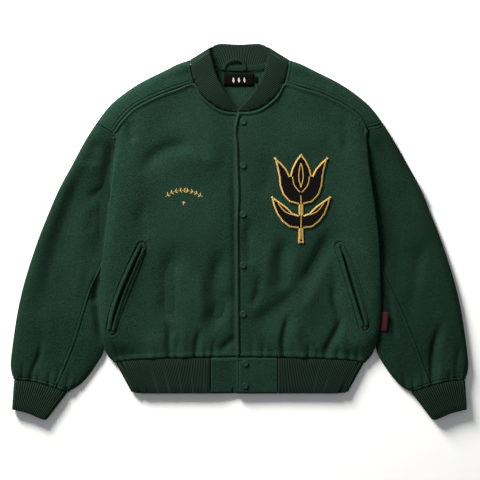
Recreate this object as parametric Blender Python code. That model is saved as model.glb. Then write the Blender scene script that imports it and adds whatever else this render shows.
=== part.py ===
"""A fleece bomber jacket, laid flat on its back and closed at the front.

The jacket is drawn as one outer surface of cloth, a coarse net of quads for each cut piece, whose nets
share their points along the seams. Each piece is then given its wall along the net's own normals, so two
pieces always meet rim to rim, with a narrow gap left at the seam.

Measures are in millimetres, with x across the jacket, y up its length and z up from the floor; the
objects are made in metres. "out" is the distance from the centre line, on either side.
"""

import math
from collections import namedtuple

import bmesh
import bpy
import numpy as np
from mathutils import Vector
from mathutils.bvhtree import BVHTree

MM = 0.001

# Driving dimensions
FLEECE = 3.0  # wall of the brushed fleece
RIB_KNIT = 3.5  # wall of the doubled rib knit and of the hem panels
SEAM_GAP = 0.34  # between two pieces at a seam
UNDERARM_WALL = 1.2  # where four walls meet in one point
HEM_CORNER_WALL = 2.6  # where the hem seam turns round the side
RIB_PITCH = 3.3  # from one rib to the next
RIB_HEIGHT = 0.8
COLLAR_TIP = 3.0  # width of the collar band where it runs out at the centre front
HEM_END = -324.3  # lower edge of the hem band
HEM_HALF, HEM_END_HALF = 248.5, 217.0  # half the hem band's width at its seam and at its lower edge
UNDERARM = -40.0  # where sleeve, front and back meet
HEM_CORNER = -264.0  # y of the hem seam where it turns round the side
SIDE_EASE = 45.0  # how far up from that corner the side roll takes to grow full
TUCK, HEM_TUCK = 14.0, 5.0  # how far the side seam lies in from the body's visible edge
TUCK_END = 198.0  # y below which the front armhole starts to tuck under
CREST = 26.0  # how far the crest of the side roll lies in from the visible edge
ARMHOLE_SHIFT = 6.5  # how much further in the back armhole lies than the front one
FOLD_INSET = 8.0  # how far a folded edge takes to round down to the floor

# Heights above the floor
FRONT_UNDER, FRONT_TOP = 8.6, 12.6  # the lower and the upper front where they overlap
BODY_HEIGHT, CREST_HEIGHT = 10.0, 20.0
CHEST_RISE = 3.0  # how much higher the upper chest lies
BLOUSE = 2.5  # how much the fleece puffs out above the hem seam
EDGE_HEIGHT = 13.5  # the widest point of the side roll
SEAM_HEIGHT = 6.6  # the side seam and the hidden armhole seam
SHOULDER_HEIGHT = 12.5  # the hidden armhole seam where it comes out at the shoulder
NECK_HEIGHT = 15.0  # where the neck seam meets the shoulder seam
HEM_HEIGHT = 12.0
SLEEVE_EDGE = 5.6  # half the sleeve's height along its inner fold
SLEEVE_HEIGHT, SLEEVE_CREST = 12.0, 16.0
CUFF_HEIGHT = 15.0
CUFF_GATHER = 1.6  # how much the sleeve puffs out above the cuff

# How many cells each net has
HEM_ROWS, ARM_ROWS = 9, 10  # up the side seam, and up the front armhole
NECK_COLUMNS, YOKE_COLUMNS = 5, 6  # along the front neck, and along the shoulder seam
BACK_ARM_ROWS = 8
BACK_NECK_COLUMNS = 4

Side = namedtuple("Side", "name sign column placket junction")
WEARER_LEFT = Side("left", 1, 2, -8.0, 76.0)  # at +x, closes on top
WEARER_RIGHT = Side("right", -1, 1, -14.0, 58.0)  # at -x, runs on under the other front
SIDES = (WEARER_LEFT, WEARER_RIGHT)

# y, out on the wearer's right, out on the wearer's left: the body's visible edge
BODY_EDGE = (
    (-264, 248.0, 249.0), (-249, 264.0, 264.0), (-221, 274.0, 275.5), (-193, 278.5, 281.5),
    (-157, 281.0, 284.0), (-125, 281.0, 284.0), (-65, 276.0, 281.0), (-5, 267.5, 278.0),
    (55, 260.0, 270.5), (117, 254.0, 261.0), (160, 250.0, 256.0), (200, 244.0, 252.5),
)
# out, y along the curved seams, from the centre or from the neck outwards
NECK_SEAM = ((14, 239.5), (32, 241.4), (55, 254), (76.5, 275), (90.5, 297))
NECK_END = ((90.5, 297), (96.5, 321), (98.5, 335))
BACK_NECK = ((98.0, 334.0), (75, 331), (48, 324.5), (24, 321.6), (0, 321))
COLLAR_EDGE = ((3, 250), (14, 260.5), (29, 280), (42, 301), (50, 322), (55.5, 346), (59, 360))
COLLAR_FOLD = (61.5, 367.5)
COLLAR_BACK = ((54, 372.5), (47, 377), (32, 377.5), (16, 376.2), (0, 375.5))
SHOULDER = (
    (101, 343), (124, 335), (156, 319), (189, 303), (216, 287), (238, 271), (257, 255), (271, 239),
    (286, 218),
)
SLEEVE_OUTER = (
    (286, 218), (304, 191), (322, 159), (339, 127), (357, 95), (372, 63), (385, 31), (398, -1),
    (410, -33), (420, -65), (430, -97), (438, -129), (445, -161), (450, -193), (455, -225),
    (457.5, -257), (458, -280), (452, -297),
)
SLEEVE_INNER = (
    (263, -40), (274, -70), (279.5, -110), (280, -150), (277.5, -190), (271.5, -222), (276, -244),
    (292, -273), (306, -291), (322, -308), (343, -321.5),
)
SLEEVE_END = ((343, -321.5), (362, -315.5), (380, -310), (400, -303.5), (422, -299.5), (452, -297))
CUFF_END = ((386, -377.5), (391, -377), (405, -371.5), (421, -364.5), (439, -359.5), (456, -356))
HEM_SEAM = ((0, -252), (60, -252.5), (150, -254.5), (215, -257.5), (240, -261.5), (248, -264))
# out, y along the forward shoulder seam of each side, from the neck to the armhole
YOKE_SEAM = {
    "right": ((90.5, 297), (127, 285), (173, 267), (213, 245), (237, 221), (254, 196)),
    "left": ((90.5, 297), (154, 279), (200, 259), (232, 239), (247, 225), (256, 206)),
}
# share of the shoulder seam's length, z
SHOULDER_SEAM_HEIGHT = ((0, 15.0), (0.3, 17.0), (0.8, 17.0), (0.92, 15.5), (1, 13.0))
# z of the collar's edge over each point of the neck seam, from the centre front to the fold at the shoulder
COLLAR_HEIGHTS = {
    "left": (FRONT_TOP, 14.5, 17.0, 18.5, 18.8, 19.0, 18.8, 18.4, 9.5),
    "right": (FRONT_UNDER, 9.2, 13.0, 17.5, 18.8, 19.0, 18.8, 18.4, 9.5),
}
# out from the body's visible edge, most height of a sleeve that lies under the side roll
SLEEVE_CLEARANCE = ((-14, 6.8), (-5, 7.2), (0, 9.8), (6, 12.5), (14, 30.0))
# x, y down the edge of the upper front
PLACKET = (
    (-8, 235), (-13, 220), (-12, 207), (-9.5, 170), (-8, 124), (-6, 74), (-8.5, 15), (-7.5, -100),
    (-7, -197), (-6.5, -235), (-4.5, -273), (-2, -324),
)
# x, y of both ends, how far it reaches to either side, and how high it stands (troughs below 0)
Fold = namedtuple("Fold", "x0 y0 x1 y1 reach height")
FOLDS = (
    Fold(-153, -40, -143, -172, 17, -1.8),
    Fold(-118, -60, -112, -150, 20, 1.6),
    Fold(-50, -45, -62, -205, 19, -1.6),
    Fold(-90, -110, -88, -215, 16, 1.5),
    Fold(-150, 120, -40, 150, 26, 1.2),
    Fold(181, -27, 118, -140, 20, -2.2),
    Fold(118, -140, 35, -200, 20, -1.8),
    Fold(150, -120, 96, -222, 20, 1.8),
    Fold(60, 20, 52, -120, 22, 1.3),
    Fold(176, 190, 90, 175, 28, 1.2),
    Fold(-372, -70, -309, 112, 26, -3.0),
    Fold(-340, -80, -300, 40, 26, 1.8),
    Fold(-417, -200, -398, -285, 18, -1.8),
    Fold(386, -296, 396, -205, 14, -2.6),
    Fold(412, -290, 420, -200, 18, 2.0),
    Fold(330, 30, 372, -110, 30, 1.6),
    Fold(352, -40, 395, -170, 26, -1.4),
)
SNAP_ROWS = (219.5, 132.0, 34.0, -68.0, -165.5, -264.0, -308.5)  # y of each snap
SNAP_LINE, HEM_SNAP_LINE = 7.0, 11.5  # x of the snaps on the body and on the hem
# distance from a snap's middle, height: it is slightly dished
SNAP_PROFILE = ((0, 0), (6.5, 0), (6.5, 0.9), (5.1, 1.9), (2.6, 2.4), (0, 2.4))
SNAP_STEPS = 14
# x, y down the middle of each pocket's slit, and the half width of its opening
POCKET_SLITS = {
    "left": ((201.4, -31.0), (217, -76), (231, -121), (243, -166), (248.5, -187.5)),
    "right": ((-194.6, -31.5), (-215, -76), (-234, -121), (-249, -166), (-255.4, -196.0)),
}
SLIT_HALF, SLIT_LEAST = 2.6, 0.4  # at the middle, and what stays open at both ends
WELT_WIDTH, WELT_THICK = 9.5, 2.6
WELT_ENDS = 0.75  # how narrow a welt is at its ends
WELT_PROFILE = ((0, 0.75), (0.35, 1.0), (1, 0.4))  # share of its width from the slit, share of its thickness
WELT_CELLS = 12
WELT_REACH, PATCH_REACH = 7.0, 5.0  # how far round a point the cloth below is felt for its highest spot
LABEL = (-31.0, 29.0, 291.5, 317.5)  # left, right, lower and upper edge
SIZE_TAB = (29.6, 36.6, 299.5, 310.5)
LABEL_THICK = 0.9
LABEL_CROWN = 0.35  # how much the middle of a label stands off
TAPE_HALF, TAPE_WIDTH = 70.0, 9.5
# x, y, z along the middle of the hanger loop
LOOP = (
    (-31.8, 323.5, 5.9), (-27.5, 335.5, 6.3), (-17, 343, 6.9), (-5, 345, 7.1), (5, 341.5, 6.9),
    (10, 333, 6.3), (11.5, 323.5, 5.9),
)
LOOP_WIDTH, LOOP_THICK, LOOP_CELLS = 6.0, 1.5, 12
# from the body's visible edge outwards, height: the woven tab comes out of the side seam under the roll
SIDE_TAB = ((-8.0, 7.5), (-4.0, 9.0), (-0.8, 10.8), (3.0, 12.5), (8.0, 14.1), (13.6, 14.8))
SIDE_TAB_ENDS, SIDE_TAB_THICK = (-199.0, -161.0), 1.0
PATCH_CENTRE = (123.0, 66.0)
PATCH_THICK = 2.0
# right half of the tulip on the chest, from foot to tip: stretches between its corners, from its centre
TULIP = (
    ((5.5, -89), (4.5, -60)),
    ((4.5, -60), (24, -57), (42, -41), (53, -20), (59, 4)),
    ((59, 4), (41, -8), (22, -23), (9, -38), (4.5, -34)),
    ((4.5, -34), (4.5, -12)),
    ((4.5, -12), (20, -9), (34, 4), (42, 24), (45, 50), (53, 82)),
    ((53, 82), (39, 70), (28, 57), (22, 44)),
    ((22, 44), (18, 60), (10, 76), (0, 89)),
)
TULIP_CELLS = (1, 5, 4, 1, 6, 3, 3)

GREEN = (0.021, 0.052, 0.034)
RIB_GREEN = (0.012, 0.028, 0.017)
TAPE_GREEN = (0.012, 0.032, 0.021)
SNAP_GREEN = (0.018, 0.040, 0.028)
BLACK = (0.006, 0.006, 0.006)
MAROON = (0.045, 0.010, 0.012)


# --- curves ----------------------------------------------------------------------------------------


def curve(points, fine=16):
    """A smooth curve through the points, as a function of the share of its length."""
    p = np.array(points, float)
    p = np.vstack([2 * p[0] - p[1], p, 2 * p[-1] - p[-2]])
    t = np.linspace(0, 1, fine, endpoint=False)[:, None]
    rows = [
        0.5 * (2 * b + (c - a) * t + (2 * a - 5 * b + 4 * c - d) * t**2 + (3 * b - 3 * c + d - a) * t**3)
        for a, b, c, d in zip(p, p[1:], p[2:], p[3:])
    ]
    dense = np.vstack(rows + [p[-2][None]])
    run = np.concatenate([[0], np.cumsum(np.linalg.norm(np.diff(dense, axis=0), axis=1))])

    def at(share):
        share = np.asarray(share, float) * run[-1]
        return np.stack([np.interp(share, run, dense[:, k]) for k in range(dense.shape[1])], -1)

    return at


def spaced(points, cells):
    """The points of a smooth curve at even distances."""
    return curve(points)(np.linspace(0, 1, cells + 1))


def smooth(t):
    """0 below 0, 1 above 1 and a soft step between."""
    t = np.clip(t, 0, 1)
    return t * t * (3 - 2 * t)


def ramp(value, low, high):
    """A soft step of one number from 0 at low to 1 at high."""
    return float(smooth((value - low) / (high - low)))


def bump(value, centre, reach):
    """1 at the centre, and about a third at a reach from it."""
    return math.exp(-(((value - centre) / reach) ** 2))


def mix(a, b, t):
    return a + (b - a) * t


def table(rows, column):
    """A function that reads a column of a table at any value of its first column."""
    rows = np.array(sorted(rows), float)
    return lambda value: np.interp(value, rows[:, 0], rows[:, column])


def hem_seam(out):
    return float(table(HEM_SEAM, 1)(abs(out)))


def placket(y):
    return float(np.interp(y, *zip(*[(b, a) for a, b in reversed(PLACKET)])))


def coons(lower, upper, inner, outer):
    """Plan points between four edges: rows run from lower to upper, columns from inner to outer."""
    c = np.linspace(0, 1, len(lower))[None, :, None]
    r = np.linspace(0, 1, len(inner))[:, None, None]
    lower, upper, inner, outer = (np.array(edge, float) for edge in (lower, upper, inner, outer))
    ruled = (1 - c) * inner[:, None] + c * outer[:, None] + (1 - r) * lower[None] + r * upper[None]
    corners = (
        (1 - c) * (1 - r) * lower[0] + c * (1 - r) * lower[-1] + (1 - c) * r * upper[0] + c * r * upper[-1]
    )
    return ruled - corners


def fold_height(x, y):
    """What the large folds add to the height at a place."""
    total = 0.0
    for f in FOLDS:
        along = np.array([f.x1 - f.x0, f.y1 - f.y0])
        length = np.linalg.norm(along)
        away = np.array([x - f.x0, y - f.y0])
        t = float(np.dot(away, along)) / length**2
        side = abs(float(away[0] * along[1] - away[1] * along[0])) / length
        total += f.height * ramp(t, -0.15, 0.2) * ramp(-t, -1.15, -0.8) * bump(side, 0, f.reach)
    return total


# --- the outer surface -----------------------------------------------------------------------------


class Shell:
    """The jacket's outer surface: shared points, and the faces of each piece."""

    def __init__(self):
        self.points, self.numbers, self.faces = [], {}, {}
        self.thin = {}  # wall at single points where it is less than elsewhere

    def number(self, point):
        key = tuple(int(round(c * 100)) for c in point)
        if key not in self.numbers:
            self.numbers[key] = len(self.points)
            self.points.append(np.array(point, float))
        return self.numbers[key]

    def add(self, piece, side, grid, flip):
        """Adds a net in (out, y, z), and gives its points' numbers."""
        net = [[self.number((side.sign * p[0], p[1], p[2])) for p in row] for row in grid]
        turned = flip != (side.sign < 0)
        for low, high in zip(net, net[1:]):
            for a, b, c, d in zip(low, low[1:], high[1:], high):
                face = [n for k, n in enumerate((a, b, c, d)) if n != (a, b, c, d)[k - 1]]
                if len(face) > 2:
                    self.faces.setdefault(piece, []).append(face[::-1] if turned else face)
        return net

    def face_normal(self, face):
        p = [self.points[n] for n in face]
        normal = np.cross(p[2] - p[0], (p[3] if len(p) > 3 else p[0]) - p[1])
        return normal / max(np.linalg.norm(normal), 1e-9)

    def finish(self):
        """Works out the normal at each point, and how many pieces each edge has."""
        self.normals = np.zeros((len(self.points), 3))
        self.edges = {}
        for piece, faces in self.faces.items():
            for face in faces:
                normal = self.face_normal(face)
                for k, n in enumerate(face):
                    a = self.points[face[k - 1]] - self.points[n]
                    b = self.points[face[(k + 1) % len(face)]] - self.points[n]
                    cosine = np.dot(a, b) / (np.linalg.norm(a) * np.linalg.norm(b))
                    self.normals[n] += normal * math.acos(max(-1, min(1, cosine)))
                    edge = frozenset((n, face[(k + 1) % len(face)]))
                    self.edges.setdefault(edge, []).append((piece, face))
        self.normals /= np.linalg.norm(self.normals, axis=1)[:, None]

    def wall(self, piece, thickness):
        """The outer and the inner points of a piece, drawn back from its seams by half the gap."""
        shift = {n: [] for face in self.faces[piece] for n in face}
        for edge, users in self.edges.items():
            mine = [face for name, face in users if name == piece]
            if len(mine) != 1 or len(users) != 2:
                continue
            ends = list(edge)
            along = self.points[ends[1]] - self.points[ends[0]]
            middle = np.mean([self.points[n] for n in mine[0]], axis=0)
            for n in ends:
                inward = np.cross(along, self.normals[n])
                inward /= np.linalg.norm(inward)
                shift[n].append(inward * np.sign(np.dot(inward, middle - self.points[n])))
        outer, inner = {}, {}
        for n, ways in shift.items():
            move = np.zeros(3)
            if len(ways) == 1:
                move = ways[0]
            elif len(ways) > 1:
                move = (ways[0] + ways[1]) / max(0.5, 1 + np.dot(ways[0], ways[1]))
            outer[n] = self.points[n] + move * SEAM_GAP / 2
            outer[n][2] = max(outer[n][2], 0.0)
            inner[n] = outer[n] - self.normals[n] * self.thin.get(n, thickness)
        return outer, inner


# --- the nets --------------------------------------------------------------------------------------


def body_edge(side):
    return table(BODY_EDGE, side.column)


def front_height(side, out, y):
    """Height of a front's outer surface, away from its rolled side."""
    away = float(body_edge(side)(y)) - out
    hem = y - hem_seam(out)
    swell = bump(max(away - CREST, 0), 0, 42)
    height = mix(BODY_HEIGHT, CREST_HEIGHT, swell * ramp(hem, 0, 60))
    height += CHEST_RISE * (ramp(y, 60, 220) * (1 - swell) - ramp(y, 110, 180) * swell)
    height = mix(HEM_HEIGHT, height + BLOUSE * bump(hem, 24, 16), ramp(hem, 0, 26))
    height += fold_height(side.sign * out, y) * ramp(hem, 10, 50)
    overlap = FRONT_TOP if side is WEARER_LEFT else FRONT_UNDER
    return mix(overlap, height, ramp(out, 18, 52))


def top_row(side):
    """Neck seam and shoulder seam of a front, from the centre to the armhole, with heights."""
    start = (side.placket + 4.5, 240.4) if side is WEARER_LEFT else (side.placket, 239.5)
    neck = spaced((start,) + NECK_SEAM, NECK_COLUMNS)
    yoke = curve(YOKE_SEAM[side.name])
    shares = np.concatenate([np.linspace(0, 0.82, YOKE_COLUMNS + 1), [0.87, 0.915, 0.955, 1.0]])
    plan = np.vstack([neck, yoke(shares)[1:]])
    overlap = FRONT_TOP if side is WEARER_LEFT else FRONT_UNDER
    z = [mix(overlap, NECK_HEIGHT, ramp(out, 6, 76)) for out in plan[: NECK_COLUMNS + 1, 0]]
    z += list(table(SHOULDER_SEAM_HEIGHT, 1)(shares[1:]))
    return np.column_stack([plan, z])


def grown(y):
    """How far the side roll has grown from the hem's corner upwards."""
    return ramp(y, HEM_CORNER, HEM_CORNER + SIDE_EASE)


def tuck(y):
    """How far the hidden seam lies in from the visible edge: least at the hem and at the shoulder."""
    return mix(HEM_TUCK, TUCK, grown(y)) * ramp(-y, -TUCK_END, 90 - TUCK_END)


def side_rows(side):
    """y of each row of a front at its visible edge: hem to underarm, then underarm to shoulder."""
    lower = np.linspace(0, 1, HEM_ROWS + 1) ** 1.25
    lower = mix(HEM_CORNER, UNDERARM, lower)
    upper = np.linspace(UNDERARM, 176, ARM_ROWS)[1:]
    return np.concatenate([lower, upper])


def hidden_seam(side, y):
    """The seam under the side roll: side seam below the underarm, armhole above it."""
    height = mix(mix(1.6, SEAM_HEIGHT, grown(y)), SHOULDER_HEIGHT, ramp(y, 115, 205))
    return np.array([float(body_edge(side)(y)) - tuck(y), y, height])


def front_net(side):
    """A front from placket to hidden seam (columns) and from hem to shoulder (rows)."""
    top = top_row(side)
    rows = side_rows(side)
    plain = NECK_COLUMNS + YOKE_COLUMNS
    edge = body_edge(side)
    middle_hem = hem_seam(0)
    start = side.placket if side is WEARER_RIGHT else placket(middle_hem)
    outs = np.concatenate(
        [np.linspace(start, side.junction, NECK_COLUMNS + 1),
         np.linspace(side.junction, edge(HEM_CORNER) - CREST, YOKE_COLUMNS + 1)[1:]]
    )
    lower = [(out, hem_seam(out)) for out in outs]
    crests = [(edge(y) - CREST, y if i else lower[-1][1]) for i, y in enumerate(rows)]
    climb = np.append((rows - HEM_CORNER) / (rows[-1] - HEM_CORNER + 34), 1)
    inner = [(start if side is WEARER_RIGHT else placket(y), y) for y in mix(middle_hem, top[0][1], climb)]
    inner[0], inner[-1] = lower[0], top[0][:2]
    outer = crests + [tuple(top[plain][:2])]
    plan = coons(lower, top[: plain + 1, :2], inner, outer)
    net = []
    for i, y in enumerate(rows):
        row = [(out, v, front_height(side, out, v)) for out, v in plan[i]]
        x, seam, full = float(edge(y)), hidden_seam(side, y), grown(y)
        crest = mix(HEM_HEIGHT, row[-1][2], full)
        row.append((x - mix(6.5, 10, full), y, mix(HEM_HEIGHT - 1, crest - 0.4, full)))
        row.append((x, y, mix(HEM_HEIGHT / 2, EDGE_HEIGHT, full)))
        row.append((x - 0.36 * tuck(y), y, mix(3.4, mix(seam[2], EDGE_HEIGHT, 0.42), full)))
        row.append(tuple(seam))
        net.append(row)
    net.append([tuple(p) for p in top])
    for j in range(1, 5):
        out, y, z = net[0][plain + j]
        net[0][plain + j] = (out, hem_seam(min(out, HEM_SEAM[-1][0])), z)
    return net


def shoulder_net(side, front):
    """The part of the back that wraps over the shoulder: rows from the forward seam to the floor."""
    seam = [np.array(p) for p in front[-1][NECK_COLUMNS:]][::-1]
    cells = len(seam) - 1
    ridge = spaced(SHOULDER[::-1], cells)
    neck = curve(NECK_END)
    rows = [seam, [], [], [], []]
    for j, (start, edge) in enumerate(zip(seam, ridge)):
        t = j / cells
        following, before = ridge[min(j + 1, cells)], ridge[max(j - 1, 0)]
        along = (following - before) / np.linalg.norm(following - before)
        inward = np.array([along[1], -along[0]])
        inward = inward if inward[1] < 0 else -inward
        half = mix(7.0, 9.0, t)
        crest = edge + inward * FOLD_INSET
        if j == cells:
            crest = neck(1.0)
        middle = mix(start[:2], crest, 0.5) if j < cells else neck(0.62)
        rows[1].append(np.array([*middle, mix(start[2], 2 * half, 0.5) + 0.8]))
        rows[2].append(np.array([*crest, 2 * half - 0.6]))
        rows[3].append(np.array([*edge, half]))
        rows[4].append(np.array([*(edge + inward * FOLD_INSET), 0.0]))
    rows[4][-1] = np.array([*BACK_NECK[0], 0.0])
    return rows


def back_net(side, front, shoulder):
    """Half of the back's floor side: columns from the side seam to the centre line."""
    top = [p[:2] for p in shoulder[-1]] + list(spaced(BACK_NECK, BACK_NECK_COLUMNS)[1:])
    columns = len(top)
    seams = [np.array(front[i][-1]) for i in range(HEM_ROWS + 1)]
    arm_y = np.append(UNDERARM + 10, np.linspace(UNDERARM + 26, top[0][1], BACK_ARM_ROWS - 1))
    edge = body_edge(side)
    arm = []
    for y in arm_y:
        inset = TUCK + ARMHOLE_SHIFT * ramp(y, UNDERARM - 8, UNDERARM + 28)
        arm.append((mix(float(edge(y)) - inset, top[0][0], ramp(y, 120, 210)), y))
    arm[-1] = tuple(top[0])
    outs = np.concatenate([[seams[0][0], seams[0][0] - 7, seams[0][0] - 15],
                           np.linspace(seams[0][0] - 15, 0, columns - 2)[1:]])
    lower = [(out, hem_seam(out)) for out in outs]
    lower[0] = tuple(seams[0][:2])
    side_edge = [tuple(p[:2]) for p in seams] + arm
    ends = (hem_seam(0), UNDERARM, BACK_NECK[-1][1])
    centre_y = np.interp(np.linspace(0, 1, len(side_edge)), (0, 0.55, 1), ends)
    plan = coons(lower, top, side_edge, [(0, y) for y in centre_y])
    net = []
    for i, row in enumerate(plan):
        points = [[out, y, 0.0] for out, y in row]
        if i <= HEM_ROWS:
            points[0] = list(seams[i])
            k = min(1, i / 2)
            points[1] = [seams[i][0] - mix(4, 6, k), seams[i][1], mix(0.0, 1.9, k)]
            points[2] = [seams[i][0] - 14, seams[i][1], 0.0]
        net.append(points)
    for i, z in ((HEM_ROWS + 1, 3.4), (HEM_ROWS + 2, 0.6)):
        net[i][0][2] = z
    for j, point in enumerate(lower[1:3], 1):
        net[0][j][1] = hem_seam(net[0][j][0])
    return net


def sleeve_height(side, out, y, along, across):
    """Height of the sleeve's outer surface: low under the body's roll, full further out."""
    full = mix(SLEEVE_HEIGHT, SLEEVE_CREST, bump(across, 0.82, 0.2))
    full = mix(full, CUFF_HEIGHT, ramp(along, 0.93, 1))
    full += CUFF_GATHER * bump(along, 0.955, 0.03)
    full += fold_height(side.sign * out, y) * ramp(-along, -1, -0.9)
    away = out - float(body_edge(side)(y))
    above = mix(SEAM_HEIGHT + 0.2, full, ramp(away + TUCK, 9, 69))
    above = mix(above, max(full, 14.0), ramp(y, 140, 210))
    height = mix(full, above, ramp(y, -90, -40))
    return min(height, table(SLEEVE_CLEARANCE, 1)(away)) if y < 150 else height


def sleeve_net(side, front, shoulder, back):
    """Rings of the sleeve from armhole to cuff, each from the inner fold over the top and back under."""
    arm = [np.array(front[i][-1]) for i in range(HEM_ROWS, len(front))]
    top_start = arm + [shoulder[k][0] for k in (1, 2, 3)]
    under_start = [shoulder[4][0]] + [np.array(back[i][0]) for i in range(len(back) - 2, HEM_ROWS, -1)]
    across = len(top_start) - 1
    shares = np.concatenate([[0, 0.07], np.linspace(0.14, 0.9, across - 3), [0.955, 1]])
    under_shares = np.linspace(0.945, 0.06, len(under_start))
    stations = np.array([0, 0.03, 0.075, 0.13, 0.2, 0.28, 0.37, 0.46, 0.55, 0.64, 0.73, 0.82, 0.9, 0.955, 1])
    inner, outer, end = curve(SLEEVE_INNER), curve(SLEEVE_OUTER), curve(SLEEVE_END)

    def plan(first, w, v):
        left, right = inner(v), outer(v)
        corners = ((1 - w) * (1 - v) * inner(0) + w * (1 - v) * outer(0)
                   + (1 - w) * v * end(0) + w * v * end(1))
        return (1 - w) * left + w * right + (1 - v) * first + v * end(w) - corners

    net = []
    for k, v in enumerate(stations):
        ring = []
        edge = mix(SLEEVE_EDGE, CUFF_HEIGHT / 2, ramp(v, 0.75, 1))
        ridge = mix(7.0, CUFF_HEIGHT / 2, ramp(v, 0.5, 1))
        for j, (w, start) in enumerate(zip(shares, top_start)):
            out, y = plan(start[:2], w, v)
            z = sleeve_height(side, out, y, v, w)
            if j == 0:
                z = edge
            elif j == 1:
                z = min(z, 2 * edge - 0.8) if k > 2 else z
            elif j == across - 1:
                z = mix(z, 2 * ridge - 0.6, 0.6)
            elif j == across:
                z = ridge
            z = start[2] if k == 0 else z
            ring.append((out, y, z))
        for w, start in zip(under_shares, under_start):
            out, y = plan(start[:2], w, v)
            ring.append((out, y, 0.0))
        ring.append(ring[0])
        net.append(ring)
    return net, shares, under_shares


def cuff_net(sleeve, shares, under_shares):
    end = curve(CUFF_END)
    last = []
    for j, p in enumerate(sleeve[-1][:-1]):
        w = np.concatenate([shares, under_shares])[j]
        last.append((*end(w), p[2]))
    last.append(last[0])
    return [sleeve[-1], last]


def hem_net(side, front, back):
    """The hem band of one side, lower edge first: placket, side, and round to the centre back."""
    upper = [np.array(p) for p in front[0]] + [np.array(p) for p in back[0][1:]]
    lower = []
    for p in upper:
        share = (p[0] - side.junction) / (HEM_HALF - side.junction)
        out = p[0] if p[0] < side.junction + 1 else mix(side.junction, HEM_END_HALF, share)
        out = p[0] * HEM_END_HALF / HEM_HALF if p[2] == 0.0 else out
        lower.append(np.array([out, HEM_END + 3.5 * ramp(out, 205, 219), p[2]]))
    return [lower, upper]


def collar_net(side, front, shoulder, back):
    """The collar band of one side: seam, middle and edge rows, from the centre front to the centre back."""
    base = [np.array(p) for p in front[-1][: NECK_COLUMNS + 1]]
    base += [shoulder[k][-1] for k in (1, 2, 3, 4)]
    base += [np.array(p) for p in back[-1][-BACK_NECK_COLUMNS:]]
    first = base[0][:2] + np.array([1.0, COLLAR_TIP])
    edge = [np.array(first)] + [np.array(p) for p in COLLAR_EDGE] + [np.array(COLLAR_FOLD)]
    edge += [np.array(p) for p in COLLAR_BACK]
    heights = COLLAR_HEIGHTS[side.name]
    rows = [[], [], []]
    for j, (low, high) in enumerate(zip(base, edge)):
        z = heights[j] if j < len(heights) else 0.0
        rows[0].append(low)
        rows[2].append(np.array([*high, z]))
        full = 1.6 * ramp(j, 0, 3) if z > 10 else 0.0
        middle = mix(low, rows[2][-1], 0.5)
        rows[1].append(np.array([middle[0], middle[1], middle[2] + full]))
    return rows


# --- solids ----------------------------------------------------------------------------------------


def material(name, colour, roughness=0.9, metallic=0.0):
    made = bpy.data.materials.new(name)
    made.use_nodes = True
    shader = made.node_tree.nodes["Principled BSDF"]
    shader.inputs["Base Color"].default_value = (*colour, 1)
    shader.inputs["Roughness"].default_value = roughness
    shader.inputs["Metallic"].default_value = metallic
    made.diffuse_color = (*colour, 1)
    return made


def make_object(name, points, faces, finish):
    """An object from points in millimetres."""
    mesh = bpy.data.meshes.new(name)
    mesh.from_pydata([tuple(float(c) * MM for c in p) for p in points], [], faces)
    mesh.materials.append(finish)
    made = bpy.data.objects.new(name, mesh)
    bpy.context.scene.collection.objects.link(made)
    mesh.shade_smooth()
    mesh.set_sharp_from_angle(angle=math.radians(50))
    return made


def walled_piece(shell, name, thickness, finish):
    """Closes a piece of the shell into a wall of cloth; the rims of a seam are split alike."""
    outer, inner = shell.wall(name, thickness)
    order = sorted(outer)
    place = {n: k for k, n in enumerate(order)}
    half = len(order)
    faces, loose = [], {}
    for face in shell.faces[name]:
        ring = [place[n] for n in face]
        faces.append(ring)
        faces.append([n + half for n in reversed(ring)])
        for a, b in zip(ring, ring[1:] + ring[:1]):
            if (b, a) in loose:
                del loose[(b, a)]
            else:
                loose[(a, b)] = True
    for a, b in loose:
        if order[a] < order[b]:
            faces += [[b, a, b + half], [a, a + half, b + half]]
        else:
            faces += [[b, a, a + half], [b, a + half, b + half]]
    return make_object(name, [outer[n] for n in order] + [inner[n] for n in order], faces, finish)


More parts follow.
